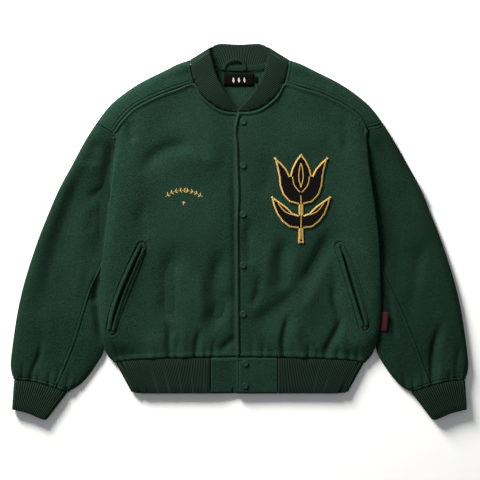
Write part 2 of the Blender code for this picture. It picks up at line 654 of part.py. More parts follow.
def ribbed_piece(shell, name, net, ribbed_columns, thickness, finish):
    """A band of rib knit: its ribs stand on the outer or on the inner face of the given columns."""
    outer, inner = shell.wall(name, thickness)
    outer = [[outer[n] for n in row] for row in net]
    inner = [[inner[n] for n in row] for row in net]
    closed = net[0][0] == net[0][-1]
    points, numbers, faces = [], {}, []

    def put(point):
        key = tuple(int(round(c * 1e4)) for c in point)
        if key not in numbers:
            numbers[key] = len(points)
            points.append(point)
        return numbers[key]

    def rows_of(face, other, j, ribbed):
        """Fine points across column j of a face, one list for each row."""
        length = np.mean([np.linalg.norm(row[j + 1] - row[j]) for row in face])
        cells = 2 * max(1, round(length / RIB_PITCH)) if ribbed else 1
        made = []
        for row, back in zip(face, other):
            line = []
            for k in range(cells + 1):
                point = mix(row[j], row[j + 1], k / cells)
                away = point - mix(back[j], back[j + 1], k / cells)
                height = RIB_HEIGHT * (k % 2) if ribbed else 0
                line.append(put(point + away / np.linalg.norm(away) * height))
            made.append(line)
        return made

    def strip(rows, turned):
        for low, high in zip(rows, rows[1:]):
            for a, b, c, d in zip(low, low[1:], high[1:], high):
                faces.append([d, c, b, a] if turned else [a, b, c, d])

    def rim(fine, coarse, middle, turned):
        """Closes the edge between a fine line and the coarse one behind it."""
        made = [[a, b, coarse[0 if k < middle else 1]] for k, (a, b) in enumerate(zip(fine, fine[1:]))]
        made.append([coarse[0], fine[middle], coarse[1]])
        faces.extend(face if turned else face[::-1] for face in made)

    flip = shell_turned(shell, name, net)
    for j in range(len(net[0]) - 1):
        kind = ribbed_columns.get(j)
        top = rows_of(outer, inner, j, kind == "outer")
        under = rows_of(inner, outer, j, kind == "inner")
        strip(top, flip)
        strip(under, not flip)
        for row, turned in ((0, flip), (-1, not flip)):
            middle = 0 if net[row][j] < net[row][j + 1] else 1
            if kind == "inner":
                rim(under[row], top[row], len(under[row]) // 2, not turned)
            else:
                rim(top[row], under[row], len(top[row]) // 2 if kind else middle, turned)
    if not closed:
        for j, turned in ((0, not flip), (-1, flip)):
            for low, high in zip(range(len(net)), range(1, len(net))):
                quad = [put(outer[low][j]), put(inner[low][j]), put(inner[high][j]), put(outer[high][j])]
                faces.append(quad[::-1] if turned else quad)
    return make_object(name, points, faces, finish)


def shell_turned(shell, name, net):
    """Whether a net's own order of points runs against its faces."""
    quad = (net[0][1], net[0][2], net[1][2], net[1][1])
    for face in shell.faces[name]:
        if set(face) == set(quad):
            return face[(face.index(quad[0]) + 1) % 4] != quad[1]
    return False


class Surface:
    """The upper side of finished pieces, read from straight above."""

    def __init__(self, *pieces):
        self.trees = []
        for piece in pieces:
            graph = bpy.context.evaluated_depsgraph_get()
            self.trees.append(BVHTree.FromObject(piece, graph))

    def height(self, x, y, reach=0.0):
        """The highest point under a spot, or under a small ring round it."""
        found = []
        turns = [(0, 0)] + [(math.cos(a) * reach, math.sin(a) * reach) for a in np.arange(0, 6.2, 0.785)]
        for dx, dy in turns if reach else turns[:1]:
            for tree in self.trees:
                hit = tree.ray_cast(Vector(((x + dx) * MM, (y + dy) * MM, 1)), Vector((0, 0, -1)))
                if hit[0] is not None:
                    found.append(hit[0].z / MM)
        return max(found)


def slab(name, lower, upper, finish):
    """A sheet between two nets of points with the same layout."""
    rows, columns = len(lower), len(lower[0])
    points = [p for row in lower for p in row] + [p for row in upper for p in row]
    half = rows * columns
    faces = []
    for i in range(rows - 1):
        for j in range(columns - 1):
            a = i * columns + j
            ring = [a, a + 1, a + columns + 1, a + columns]
            faces += [ring[::-1], [n + half for n in ring]]
    border = [j for j in range(columns)] + [i * columns + columns - 1 for i in range(1, rows)]
    border += [(rows - 1) * columns + j for j in range(columns - 2, -1, -1)]
    border += [i * columns for i in range(rows - 2, 0, -1)]
    faces += [[a, b, b + half, a + half] for a, b in zip(border, border[1:] + border[:1])]
    made = make_object(name, points, faces, finish)
    outward(made)
    return made


def outward(piece):
    """Turns a closed mesh's faces outwards."""
    work = bmesh.new()
    work.from_mesh(piece.data)
    bmesh.ops.recalc_face_normals(work, faces=work.faces)
    work.to_mesh(piece.data)
    work.free()


def welts(side, surface, finish):
    """The two welts of a slanted pocket, on either side of its slit."""
    line = spaced(POCKET_SLITS[side.name], WELT_CELLS)
    for way, word in ((-1, "inner"), (1, "outer")):
        lower, upper = [], []
        for k, point in enumerate(line):
            along = line[min(k + 1, WELT_CELLS)] - line[max(k - 1, 0)]
            across = np.array([-along[1], along[0]]) / np.linalg.norm(along) * side.sign * way
            open_by = SLIT_HALF * math.sin(math.pi * k / WELT_CELLS) + SLIT_LEAST
            ends = WELT_ENDS if k in (0, WELT_CELLS) else 1.0
            low, high = [], []
            for share, height in WELT_PROFILE:
                x, y = point + across * (open_by + share * WELT_WIDTH * ends)
                z = surface.height(x, y, WELT_REACH) + SEAM_GAP
                low.append((x, y, z))
                high.append((x, y, z + WELT_THICK * height * ends))
            lower.append(low)
            upper.append(high)
        slab(f"welt_{side.name}_{word}", lower, upper, finish)


def snap_cap(name, x, y, surface, finish):
    """A round cap that stands on the cloth."""
    base = surface.height(x, y, SNAP_PROFILE[1][0]) + SEAM_GAP
    work = bmesh.new()
    points = [work.verts.new((r * MM, 0, z * MM)) for r, z in SNAP_PROFILE]
    edges = [work.edges.new(pair) for pair in zip(points, points[1:])]
    bmesh.ops.spin(
        work, geom=points + edges, cent=(0, 0, 0), axis=(0, 0, 1), angle=2 * math.pi,
        steps=SNAP_STEPS, use_merge=True,
    )
    bmesh.ops.remove_doubles(work, verts=work.verts, dist=1e-6)
    bmesh.ops.recalc_face_normals(work, faces=work.faces)
    mesh = bpy.data.meshes.new(name)
    work.to_mesh(mesh)
    work.free()
    mesh.materials.append(finish)
    made = bpy.data.objects.new(name, mesh)
    made.location = (x * MM, y * MM, base * MM)
    bpy.context.scene.collection.objects.link(made)
    mesh.shade_smooth()
    mesh.set_sharp_from_angle(angle=math.radians(40))


def flat_patch(name, box, height, finish):
    """A thin woven label on the inside of the back, its middle a little raised."""
    left, right, low, high = box
    lower, upper = [], []
    for y in np.linspace(low, high, 3):
        across = np.linspace(0, 1, 5)
        row = [(mix(left, right, t), y, height + LABEL_CROWN * math.sin(math.pi * t)) for t in across]
        lower.append(row)
        upper.append([(x, y, z + LABEL_THICK) for x, y, z in row])
    slab(name, lower, upper, finish)


def neck_tape(finish):
    """Covers the back neck seam inside, from one front band to the other."""
    seam = table([(out, y) for out, y in BACK_NECK], 1)
    base = RIB_KNIT + RIB_HEIGHT + SEAM_GAP
    lower = [[(x, float(seam(abs(x))) + 0.3 + away, base) for x in np.linspace(-TAPE_HALF, TAPE_HALF, 11)]
             for away in (0, TAPE_WIDTH)]
    upper = [[(x, y, z + LABEL_THICK) for x, y, z in row] for row in lower]
    slab("neck_tape", lower, upper, finish)


def hanger_loop(finish):
    line = spaced(LOOP, LOOP_CELLS)
    lower, upper = [], []
    for k, point in enumerate(line):
        along = line[min(k + 1, LOOP_CELLS)] - line[max(k - 1, 0)]
        across = np.array([-along[1], along[0], 0]) / np.linalg.norm(along[:2]) * LOOP_WIDTH / 2
        low = [point - across, point + across]
        lower.append([tuple(p) for p in low])
        upper.append([(p[0], p[1], p[2] + LOOP_THICK) for p in low])
    slab("hanger_loop", lower, upper, finish)


def side_tab(finish):
    """A folded woven tab that comes out of the side seam on the wearer's left."""
    edge, half = body_edge(WEARER_LEFT), SIDE_TAB_THICK / 2
    ends = np.linspace(*SIDE_TAB_ENDS, 3)
    lower = [[(float(edge(y)) + out, y, z - half) for out, z in SIDE_TAB] for y in ends]
    upper = [[(x, y, z + SIDE_TAB_THICK) for x, y, z in row] for row in lower]
    slab("side_tab", lower, upper, finish)


def chest_patch(surface, finish):
    """A tulip of thick felt that lies on the front."""
    half = [spaced(points, cells)[:-1] for points, cells in zip(TULIP, TULIP_CELLS)]
    half = np.vstack(half + [np.array([TULIP[-1][-1]])])
    outline = [tuple(p) for p in half] + [(-u, v) for u, v in half[-2::-1]]
    work = bmesh.new()
    ring = [work.verts.new((u, v, 0)) for u, v in outline]
    work.faces.new(ring)
    for axis, reach, step in (((1, 0, 0), 48, 24), ((0, 1, 0), 84, 21)):
        for at in np.arange(-reach, reach + 1, step):
            bmesh.ops.bisect_plane(
                work, geom=work.verts[:] + work.edges[:] + work.faces[:], dist=0.05,
                plane_co=tuple(at * c for c in axis), plane_no=axis,
            )
    bmesh.ops.triangulate(work, faces=work.faces)
    bmesh.ops.recalc_face_normals(work, faces=work.faces)
    work.verts.index_update()
    flat = [(v.co.x + PATCH_CENTRE[0], v.co.y + PATCH_CENTRE[1]) for v in work.verts]
    faces = [[v.index for v in face.verts] for face in work.faces]
    border = [[v.index for v in edge.verts] for edge in work.edges if edge.is_boundary]
    work.free()
    lower = [(x, y, surface.height(x, y, PATCH_REACH) + SEAM_GAP) for x, y in flat]
    count = len(flat)
    sides = [[a, b, b + count, a + count] for a, b in border]
    upper = [(x, y, z + PATCH_THICK) for x, y, z in lower]
    made = make_object(
        "chest_patch", lower + upper, faces + [[n + count for n in face] for face in faces] + sides, finish
    )
    outward(made)


def clear_scene():
    for old in list(bpy.data.objects):
        bpy.data.objects.remove(old)


def build_shell():
    """Draws both sides, and gives the shell and the nets that the rib pieces need."""
    shell, nets = Shell(), {}
    for side in SIDES:
        front = front_net(side)
        shoulder = shoulder_net(side, front)
        back = back_net(side, front, shoulder)
        sleeve, shares, under_shares = sleeve_net(side, front, shoulder, back)
        cuff = cuff_net(sleeve, shares, under_shares)
        hem = hem_net(side, front, back)
        collar = collar_net(side, front, shoulder, back)
        shell.add("front_" + side.name, side, front, False)
        shell.add("back_panel", side, shoulder, True)
        shell.add("back_panel", side, back, False)
        shell.add("sleeve_" + side.name, side, sleeve, True)
        nets["cuff_" + side.name] = shell.add("cuff_" + side.name, side, cuff, True)
        panel = [row[: NECK_COLUMNS + 1] for row in hem]
        shell.add("hem_panel_" + side.name, side, panel, False)
        nets["hem", side.name] = shell.add("hem_rib", side, [row[NECK_COLUMNS:] for row in hem], False)
        nets["collar", side.name] = shell.add("collar_rib", side, collar, False)
        for points, wall in (([front[HEM_ROWS][-1]], UNDERARM_WALL), (front[0][-5:], HEM_CORNER_WALL)):
            for out, y, z in points:
                shell.thin[shell.number((side.sign * out, y, z))] = wall
    shell.finish()
    return shell, nets


def whole_band(first, second):
    """Joins the bands of both sides at the centre back."""
    return [list(a) + list(reversed(b))[1:] for a, b in zip(first, second)]


def trimmings(fronts, hem_panel, fleece):
    """What lies on the panels: welts, snaps, labels, tape, loop and the chest patch."""
    enamel = material("snap_enamel", SNAP_GREEN, 0.42, 0.35)
    tape = material("twill_tape", TAPE_GREEN, 0.8)
    woven = material("woven_label", BLACK, 0.6)
    for side in SIDES:
        welts(side, Surface(fronts[side.name]), fleece)
    placed = Surface(fronts["left"], hem_panel)
    for k, y in enumerate(SNAP_ROWS):
        snap_cap(f"snap_{k + 1}", HEM_SNAP_LINE if y < hem_seam(0) else SNAP_LINE, y, placed, enamel)
    flat_patch("neck_label", LABEL, FLEECE + SEAM_GAP, woven)
    flat_patch("size_tab", SIZE_TAB, FLEECE + SEAM_GAP, woven)
    neck_tape(tape)
    hanger_loop(tape)
    side_tab(material("maroon_label", MAROON, 0.7))
    chest_patch(Surface(fronts["left"]), material("black_felt", BLACK, 0.95))


def main():
    clear_scene()
    fleece = material("fleece", GREEN, 0.95)
    rib = material("rib_knit", RIB_GREEN, 0.92)
    shell, nets = build_shell()
    fronts, hem_panels = {}, {}
    for side in SIDES:
        fronts[side.name] = walled_piece(shell, "front_" + side.name, FLEECE, fleece)
        walled_piece(shell, "sleeve_" + side.name, FLEECE, fleece)
        hem_panels[side.name] = walled_piece(shell, "hem_panel_" + side.name, RIB_KNIT, fleece)
        across = len(nets["cuff_" + side.name][0]) - 1
        top = {j: "outer" for j in range(across) if 1 <= j <= 11}
        ribbed_piece(shell, "cuff_" + side.name, nets["cuff_" + side.name], top, RIB_KNIT, rib)
    walled_piece(shell, "back_panel", FLEECE, fleece)
    hem = whole_band(nets["hem", "left"], nets["hem", "right"])
    front_cells = YOKE_COLUMNS + 2
    last = len(hem[0]) - 2
    ribs = {j: "outer" for j in range(last + 1) if j < front_cells or j > last - front_cells}
    ribbed_piece(shell, "hem_rib", hem, ribs, RIB_KNIT, rib)
    collar = whole_band(nets["collar", "left"], nets["collar", "right"])
    last = len(collar[0]) - 2
    outside = NECK_COLUMNS + 3
    ribs = {j: "outer" if j < outside or j > last - outside else "inner" for j in range(last + 1)}
    ribbed_piece(shell, "collar_rib", collar, ribs, RIB_KNIT, rib)
    trimmings(fronts, hem_panels["left"], fleece)


main()
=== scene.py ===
import math
from collections import Counter

import bmesh
import bpy
from mathutils import Matrix, Vector, noise
from mathutils.bvhtree import BVHTree
from mathutils.kdtree import KDTree


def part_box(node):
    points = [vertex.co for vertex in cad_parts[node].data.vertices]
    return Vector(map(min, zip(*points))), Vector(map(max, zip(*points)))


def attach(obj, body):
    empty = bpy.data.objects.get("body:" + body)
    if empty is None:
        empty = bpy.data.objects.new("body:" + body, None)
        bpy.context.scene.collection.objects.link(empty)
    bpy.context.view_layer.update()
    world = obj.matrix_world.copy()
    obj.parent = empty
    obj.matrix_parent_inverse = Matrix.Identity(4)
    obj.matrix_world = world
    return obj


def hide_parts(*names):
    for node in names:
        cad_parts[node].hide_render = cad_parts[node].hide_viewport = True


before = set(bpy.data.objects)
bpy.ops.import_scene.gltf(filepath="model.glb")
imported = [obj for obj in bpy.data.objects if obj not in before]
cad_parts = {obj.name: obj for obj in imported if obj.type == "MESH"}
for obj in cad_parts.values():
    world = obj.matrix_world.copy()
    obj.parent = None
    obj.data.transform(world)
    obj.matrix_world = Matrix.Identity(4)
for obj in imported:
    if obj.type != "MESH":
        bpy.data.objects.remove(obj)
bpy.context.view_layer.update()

mm = 0.001
photo = {"column": 239.5, "row": 231.5, "scale": 2}  # the pixel over the origin, and how many mm a pixel is


def spot(column, row):  # a place in the photograph, as x and y
    return (column - photo["column"]) * photo["scale"] * mm, (photo["row"] - row) * photo["scale"] * mm


def soft(t):  # an even step from 0 to 1
    t = min(1.0, max(0.0, t))
    return t * t * (3 - 2 * t)


def graph(rows, value):  # reads a list of (value, height) with soft steps between
    for (a, low), (b, high) in zip(rows, rows[1:]):
        if value < b:
            return low + (high - low) * soft((value - a) / (b - a))
    return rows[-1][1]


def newMesh(name, bm):
    mesh = bpy.data.meshes.new(name)
    bm.to_mesh(mesh)
    bm.free()
    return mesh


def newObject(name, data):
    made = bpy.data.objects.new(name, data)
    bpy.context.scene.collection.objects.link(made)
    return made


def setSockets(node, sockets):
    for socket, value in sockets.items():
        node.inputs[socket].default_value = value


def newMaterial(name, surface):
    material = bpy.data.materials.new(name)
    material.use_nodes = True
    setSockets(material.node_tree.nodes["Principled BSDF"], surface)
    return material


studio = {
    "camera": (0.001, -0.017, 2.679), "lens": 100, "clip": (0.05, 50),
    "floorHalf": 6, "floorDrop": 0.4 * mm, "paper": {"Base Color": (0.97, 0.97, 0.96, 1), "Roughness": 0.9},
    "sky": {"Color": (0.95, 0.97, 1.0, 1), "Strength": 0.28},
    "lampPlace": (-1.28, 1.88, 0.97), "lampSize": 1.1, "lampPower": 215, "lampColour": (1.0, 0.985, 0.96),
}


def makeCamera():
    data = bpy.data.cameras.new("camera")
    data.lens = studio["lens"]
    data.clip_start, data.clip_end = studio["clip"]
    camera = newObject("camera", data)
    camera.location = studio["camera"]
    bpy.context.scene.camera = camera


def makeLight():
    lamp = bpy.data.lights.new("softbox", "AREA")
    lamp.shape, lamp.size = "DISK", studio["lampSize"]
    lamp.energy, lamp.color = studio["lampPower"], studio["lampColour"]
    softbox = newObject("softbox", lamp)
    softbox.location = studio["lampPlace"]
    softbox.rotation_euler = (-Vector(studio["lampPlace"])).to_track_quat("-Z", "Y").to_euler()

    world = bpy.data.worlds.new("studio")
    bpy.context.scene.world = world
    world.use_nodes = True
    setSockets(world.node_tree.nodes["Background"], studio["sky"])
    bpy.context.scene.view_settings.view_transform = "Standard"


def makeFloor():
    bm = bmesh.new()
    bmesh.ops.create_grid(bm, x_segments=1, y_segments=1, size=studio["floorHalf"])
    bmesh.ops.translate(bm, verts=bm.verts, vec=(0, 0, -studio["floorDrop"]))
    floor = newObject("floor", newMesh("floor", bm))
    floor.data.materials.append(newMaterial("paper", studio["paper"]))


makeCamera()
makeLight()
makeFloor()
print("studio is set")


def add(material, kind, **sockets):
    node = material.node_tree.nodes.new(kind)
    setSockets(node, sockets)
    return node


def join(material, start, end):
    material.node_tree.links.new(start, end)


def grain(material, scale, detail):  # a noise on the piece's own coordinates
    place = add(material, "ShaderNodeTexCoord")
    cloud = add(material, "ShaderNodeTexNoise", Scale=scale, Detail=detail, Roughness=0.6)
    join(material, place.outputs["Object"], cloud.inputs["Vector"])
    return cloud.outputs["Fac"]


def ramp(material, fac, stops):  # position and colour of each stop
    node = add(material, "ShaderNodeValToRGB")
    elements = node.color_ramp.elements
    for element, (place, colour) in zip(elements, (stops[0], stops[-1])):
        element.position, element.color = place, (*colour, 1)
    for place, colour in stops[1:-1]:
        elements.new(place).color = (*colour, 1)
    join(material, fac, node.inputs["Fac"])
    return node.outputs["Color"]


grainSpan = (0.3, 0.7)  # most of a noise lies between these


def tint(material, fac, dark, light):  # from one colour to another over a noise
    return ramp(material, fac, tuple(zip(grainSpan, (dark, light))))


def greys(*levels):
    return [(level,) * 3 for level in levels]


def blend(material, kind, share, first, second):
    node = add(material, "ShaderNodeMix")
    node.data_type, node.blend_type = "RGBA", kind
    node.inputs[0].default_value = share
    join(material, first, node.inputs[6])  # 6, 7 and 2 are its sockets for colours
    join(material, second, node.inputs[7])
    return node.outputs[2]


def emboss(material, height, strength, depth, under=None):
    node = add(material, "ShaderNodeBump", Strength=strength, Distance=depth)
    join(material, height, node.inputs["Height"])
    if under:
        join(material, under, node.inputs["Normal"])
    return node.outputs["Normal"]


def setLook(material, colour, normal):
    shader = material.node_tree.nodes["Principled BSDF"]
    join(material, colour, shader.inputs["Base Color"])
    join(material, normal, shader.inputs["Normal"])


# in each look a grain is its scale and detail, and a bump its strength and its depth in metres
fleeceLook = {
    "surface": {"Roughness": 0.96, "Specular IOR Level": 0.03,
                "Sheen Weight": 0.015, "Sheen Roughness": 0.55, "Sheen Tint": (0.55, 0.85, 0.68, 1)},
    "colours": ((0.28, (0.0050, 0.0165, 0.0100)), (0.5, (0.0090, 0.0265, 0.0168)), (0.74, (0.0152, 0.0405, 0.0265))),
    "pill": (380.0, 4.0), "pillBump": (0.8, 0.0016),
    "nap": (1500.0, 2.0), "napShades": (0.62, 1.35), "napBump": (0.5, 0.0004),
    "patch": (14.0, 3.0), "patchShades": (0.90, 1.10),
}


# the tone scales the fleece's specks and so darkens the whole colour: 1 is none, and below 1 it is painted shade
def fleeceMaterial(name, paintedShade):
    look = fleeceLook
    made = newMaterial(name, look["surface"])
    nap = grain(made, *look["nap"])
    pill = grain(made, *look["pill"])
    patch = grain(made, *look["patch"])
    colour = ramp(made, pill, look["colours"])
    # a tone below 1 darkens the specks, which is painted shade
    speck = tint(made, nap, *greys(*(level * paintedShade for level in look["napShades"])))
    cloud = tint(made, patch, *greys(*look["patchShades"]))
    colour = blend(made, "MULTIPLY", 1.0, colour, speck)
    colour = blend(made, "MULTIPLY", 1.0, colour, cloud)
    normal = emboss(made, pill, *look["pillBump"])
    setLook(made, colour, emboss(made, nap, *look["napBump"], normal))
    return made


ribLook = {
    "surface": {"Roughness": 0.88, "Specular IOR Level": 0.04,
                "Sheen Weight": 0.015, "Sheen Roughness": 0.5, "Sheen Tint": (0.6, 0.85, 0.7, 1)},
    # from trough to crest: painted shade in the troughs and a painted highlight on the crests
    "colours": ((0.12, (0.0008, 0.0020, 0.0013)), (0.5, (0.0050, 0.0115, 0.0078)), (0.9, (0.0160, 0.0340, 0.0235))),
    "yarn": (1300.0, 3.0), "yarnShades": (0.72, 1.28), "yarnBump": (0.45, 0.0004),
}


def ribMaterial():
    look = ribLook
    made = newMaterial("rib_knit", look["surface"])
    depth = add(made, "ShaderNodeAttribute")
    depth.attribute_name = "rib"
    yarn = grain(made, *look["yarn"])
    # the rib attribute lights the crests and darkens the troughs: painted highlight and painted shade
    colour = ramp(made, depth.outputs["Fac"], look["colours"])
    colour = blend(made, "MULTIPLY", 1.0, colour, tint(made, yarn, *greys(*look["yarnShades"])))
    setLook(made, colour, emboss(made, yarn, *look["yarnBump"]))
    return made


threadLook = {"gloss": 0.15, "twist": (1900.0, 2.0), "bump": (0.4, 0.0002)}


def threadMaterial(name, dark, light, roughness):
    look = threadLook
    made = newMaterial(name, {"Roughness": roughness, "Specular IOR Level": look["gloss"]})
    twist = grain(made, *look["twist"])
    setLook(made, tint(made, twist, dark, light), emboss(made, twist, *look["bump"]))
    return made


wovenLook = {
    "gloss": 0.04, "wobble": 0.4, "fuzz": (1500.0, 3.0), "fuzzShare": 0.45, "stops": (0.25, 0.75),
    "bump": (0.35, 0.00025),
}


def wovenMaterial(name, dark, light, yarns, roughness):  # fine crossing yarns
    look = wovenLook
    made = newMaterial(name, {"Roughness": roughness, "Specular IOR Level": look["gloss"]})
    place = add(made, "ShaderNodeTexCoord")
    waves = []
    for direction in ("X", "Y"):
        wave = add(made, "ShaderNodeTexWave", Scale=yarns, Distortion=look["wobble"])
        wave.bands_direction = direction
        join(made, place.outputs["Object"], wave.inputs["Vector"])
        waves.append(wave.outputs["Fac"])
    weave = blend(made, "MIX", 0.5, *waves)
    fuzzy = blend(made, "MIX", look["fuzzShare"], weave, grain(made, *look["fuzz"]))
    colour = ramp(made, fuzzy, tuple(zip(look["stops"], (dark, light))))
    setLook(made, colour, emboss(made, weave, *look["bump"]))
    return made


feltLook = {
    "surface": {"Roughness": 0.97, "Specular IOR Level": 0.03},
    "colours": ((0.3, (0.0016, 0.0014, 0.0013)), (0.75, (0.0085, 0.0072, 0.0062))),
    "fibre": (1700.0, 5.0), "fibreBump": (0.6, 0.0004), "tuft": (260.0, 3.0), "tuftBump": (0.4, 0.0006),
}


def feltMaterial():
    look = feltLook
    made = newMaterial("felt", look["surface"])
    fibre = grain(made, *look["fibre"])
    tuft = grain(made, *look["tuft"])
    normal = emboss(made, tuft, *look["tuftBump"], emboss(made, fibre, *look["fibreBump"]))
    setLook(made, ramp(made, fibre, look["colours"]), normal)
    return made


enamelLook = {
    "surface": {"Roughness": 0.58, "Specular IOR Level": 0.12},
    "colours": ((0.0070, 0.0230, 0.0140), (0.0095, 0.0290, 0.0180)), "haze": (700.0, 3.0), "bump": (0.12, 0.0002),
}


def enamelMaterial():
    look = enamelLook
    made = newMaterial("snap_enamel", look["surface"])
    haze = grain(made, *look["haze"])
    setLook(made, tint(made, haze, *look["colours"]), emboss(made, haze, *look["bump"]))
    return made


threads = {  # dark and light colour, roughness
    "seam_thread": ((0.006, 0.018, 0.011), (0.015, 0.038, 0.025), 0.6),
    "label_thread": ((0.40, 0.40, 0.38), (0.62, 0.62, 0.60), 0.6),
    "gold_thread": ((0.36, 0.22, 0.045), (0.74, 0.50, 0.15), 0.45),
}
weaves = {  # dark and light colour, scale of the yarns, roughness
    "twill_tape": ((0.0030, 0.0095, 0.0060), (0.0090, 0.0240, 0.0155), 160.0, 0.85),
    "woven_label": ((0.0006, 0.0006, 0.0007), (0.0018, 0.0018, 0.0020), 330.0, 0.8),
    "side_label": ((0.020, 0.004, 0.005), (0.060, 0.012, 0.014), 330.0, 0.6),
}
looks = {
    # the sleeves' fleece is a fifth darker: partly the darker look of their nap, which runs across the body's, and
    # partly painted shade where the sleeves lie in shadow
    "fleece": fleeceMaterial("fleece", 1.0), "sleeve_fleece_painted_shade": fleeceMaterial("sleeve_fleece_painted_shade", 0.8),
    "rib_knit": ribMaterial(), "felt": feltMaterial(), "snap_enamel": enamelMaterial(),
}
looks.update((look, threadMaterial(look, *values)) for look, values in threads.items())
looks.update((look, wovenMaterial(look, *values)) for look, values in weaves.items())
print("materials are made")

# how a CAD mesh's loose triangles become quads
joining = {"weld": 0.002 * mm, "bend": math.radians(70), "corner": math.radians(150)}
fitting = {"turns": 5, "share": 0.8, "most": 6 * mm}  # of points to the smooth surface
tiny = 1e-9


def copyNode(name):  # a CAD node's mesh with its loose triangles joined
    bm = bmesh.new()
    bm.from_mesh(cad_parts[name].data)
    bmesh.ops.remove_doubles(bm, verts=bm.verts, dist=joining["weld"])
    return bm


def joinQuads(bm):
    bmesh.ops.join_triangles(bm, faces=bm.faces, angle_face_threshold=joining["bend"],
                             angle_shape_threshold=joining["corner"])


def evaluated(thing):  # with its modifiers as they are now
    bpy.context.view_layer.update()
    return thing.evaluated_get(bpy.context.evaluated_depsgraph_get())


def fitThrough(rough):  # moves the points until the smooth surface passes where they were
    mesh, smooth = rough.data, rough.modifiers[0]
    levels, smooth.levels = smooth.levels, 1
    mesh.update()
    normals = [vertex.normal.copy() for vertex in mesh.vertices]
    wanted = [vertex.co.copy() for vertex in mesh.vertices]
    faces = Counter(key for polygon in mesh.polygons for key in polygon.edge_keys)
    free = {n for key, count in faces.items() if count == 1 for n in key}
    for _ in range(fitting["turns"]):
        mesh.update()
        mesh.update_tag()
        now = evaluated(rough).data
        shifts = [place - now.vertices[i].co for i, place in enumerate(wanted)]
        for i, shift in enumerate(shifts):
            if i not in free:
                shift = normals[i] * shift.dot(normals[i])
            mesh.vertices[i].co += fitting["share"] * shift * min(1.0, fitting["most"] / max(shift.length, tiny))
    smooth.levels = levels
    mesh.update()
    mesh.update_tag()


def bake(bm, *modifiers, through=False):  # the mesh with these modifiers applied, as a new bmesh
    rough = newObject("rough", newMesh("rough", bm))
    for kind, settings in modifiers:
        modifier = rough.modifiers.new(kind, kind)
        for key, value in settings.items():
            setattr(modifier, key, value)
    if through:
        fitThrough(rough)
    made = bpy.data.meshes.new_from_object(evaluated(rough))
    bm = bmesh.new()
    bm.from_mesh(made)
    mesh = rough.data
    bpy.data.objects.remove(rough)
    bpy.data.meshes.remove(mesh)
    bpy.data.meshes.remove(made)
    return bm


def smoothing(levels):
    return "SUBSURF", {"levels": levels, "render_levels": levels, "boundary_smooth": "PRESERVE_CORNERS"}


def addPiece(name, bm, look, slot, *nodes):
    mesh = newMesh(name, bm)
    mesh.polygons.foreach_set("use_smooth", [True] * len(mesh.polygons))
    mesh.materials.append(looks[look])
    piece = newObject(name, mesh)
    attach(piece, "root")
    if nodes:
        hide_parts(*nodes)
    print(name, len(mesh.polygons), "faces")


def roundedLine(points, step, cuts=24):  # a smooth line through the points, as places about a step apart
    p = [Vector((*point, 0)) if len(point) == 2 else Vector(point) for point in points]
    p = [2 * p[0] - p[1], *p, 2 * p[-1] - p[-2]]
    fine = []
    for a, b, c, d in zip(p, p[1:], p[2:], p[3:]):
        for k in range(cuts):
            t = k / cuts
            fine.append(0.5 * (2 * b + (c - a) * t + (2 * a - 5 * b + 4 * c - d) * t**2
                               + (3 * b - 3 * c + d - a) * t**3))
    fine.append(p[-2])
    run = [0.0]
    for a, b in zip(fine, fine[1:]):
        run.append(run[-1] + (b - a).length)
    count = max(1, round(run[-1] / step))
    made, k = [], 0
    for n in range(count + 1):
        want = run[-1] * n / count
        while k < len(run) - 2 and run[k + 1] < want:
            k += 1
        share = (want - run[k]) / max(run[k + 1] - run[k], tiny)
        made.append(fine[k].lerp(fine[k + 1], min(1.0, share)))
    return made


def treeOf(places):
    tree = KDTree(len(places))
    for index, place in enumerate(places):
        tree.insert(place, index)
    tree.balance()
    return tree


class Track:  # a line on the cloth, seen from above, and how far a place is from it
    def __init__(self, points, step=1.5 * mm):
        self.points = roundedLine(points, step)
        self.tree = treeOf([(point.x, point.y, 0) for point in self.points])

    def away(self, x, y):  # distance to the line, its side as the sign, and share along it
        _, index, _ = self.tree.find((x, y, 0))
        best = None
        for k in (max(0, index - 1), min(index, len(self.points) - 2)):
            a, b = self.points[k], self.points[k + 1]
            dx, dy = b.x - a.x, b.y - a.y
            t = min(1.0, max(0.0, ((x - a.x) * dx + (y - a.y) * dy) / (dx * dx + dy * dy)))
            ox, oy = x - a.x - t * dx, y - a.y - t * dy
            distance = math.hypot(ox, oy)
            if best is None or distance < best[0]:
                best = (distance, math.copysign(1, dx * oy - dy * ox), (k + t) / (len(self.points) - 1))
        return best


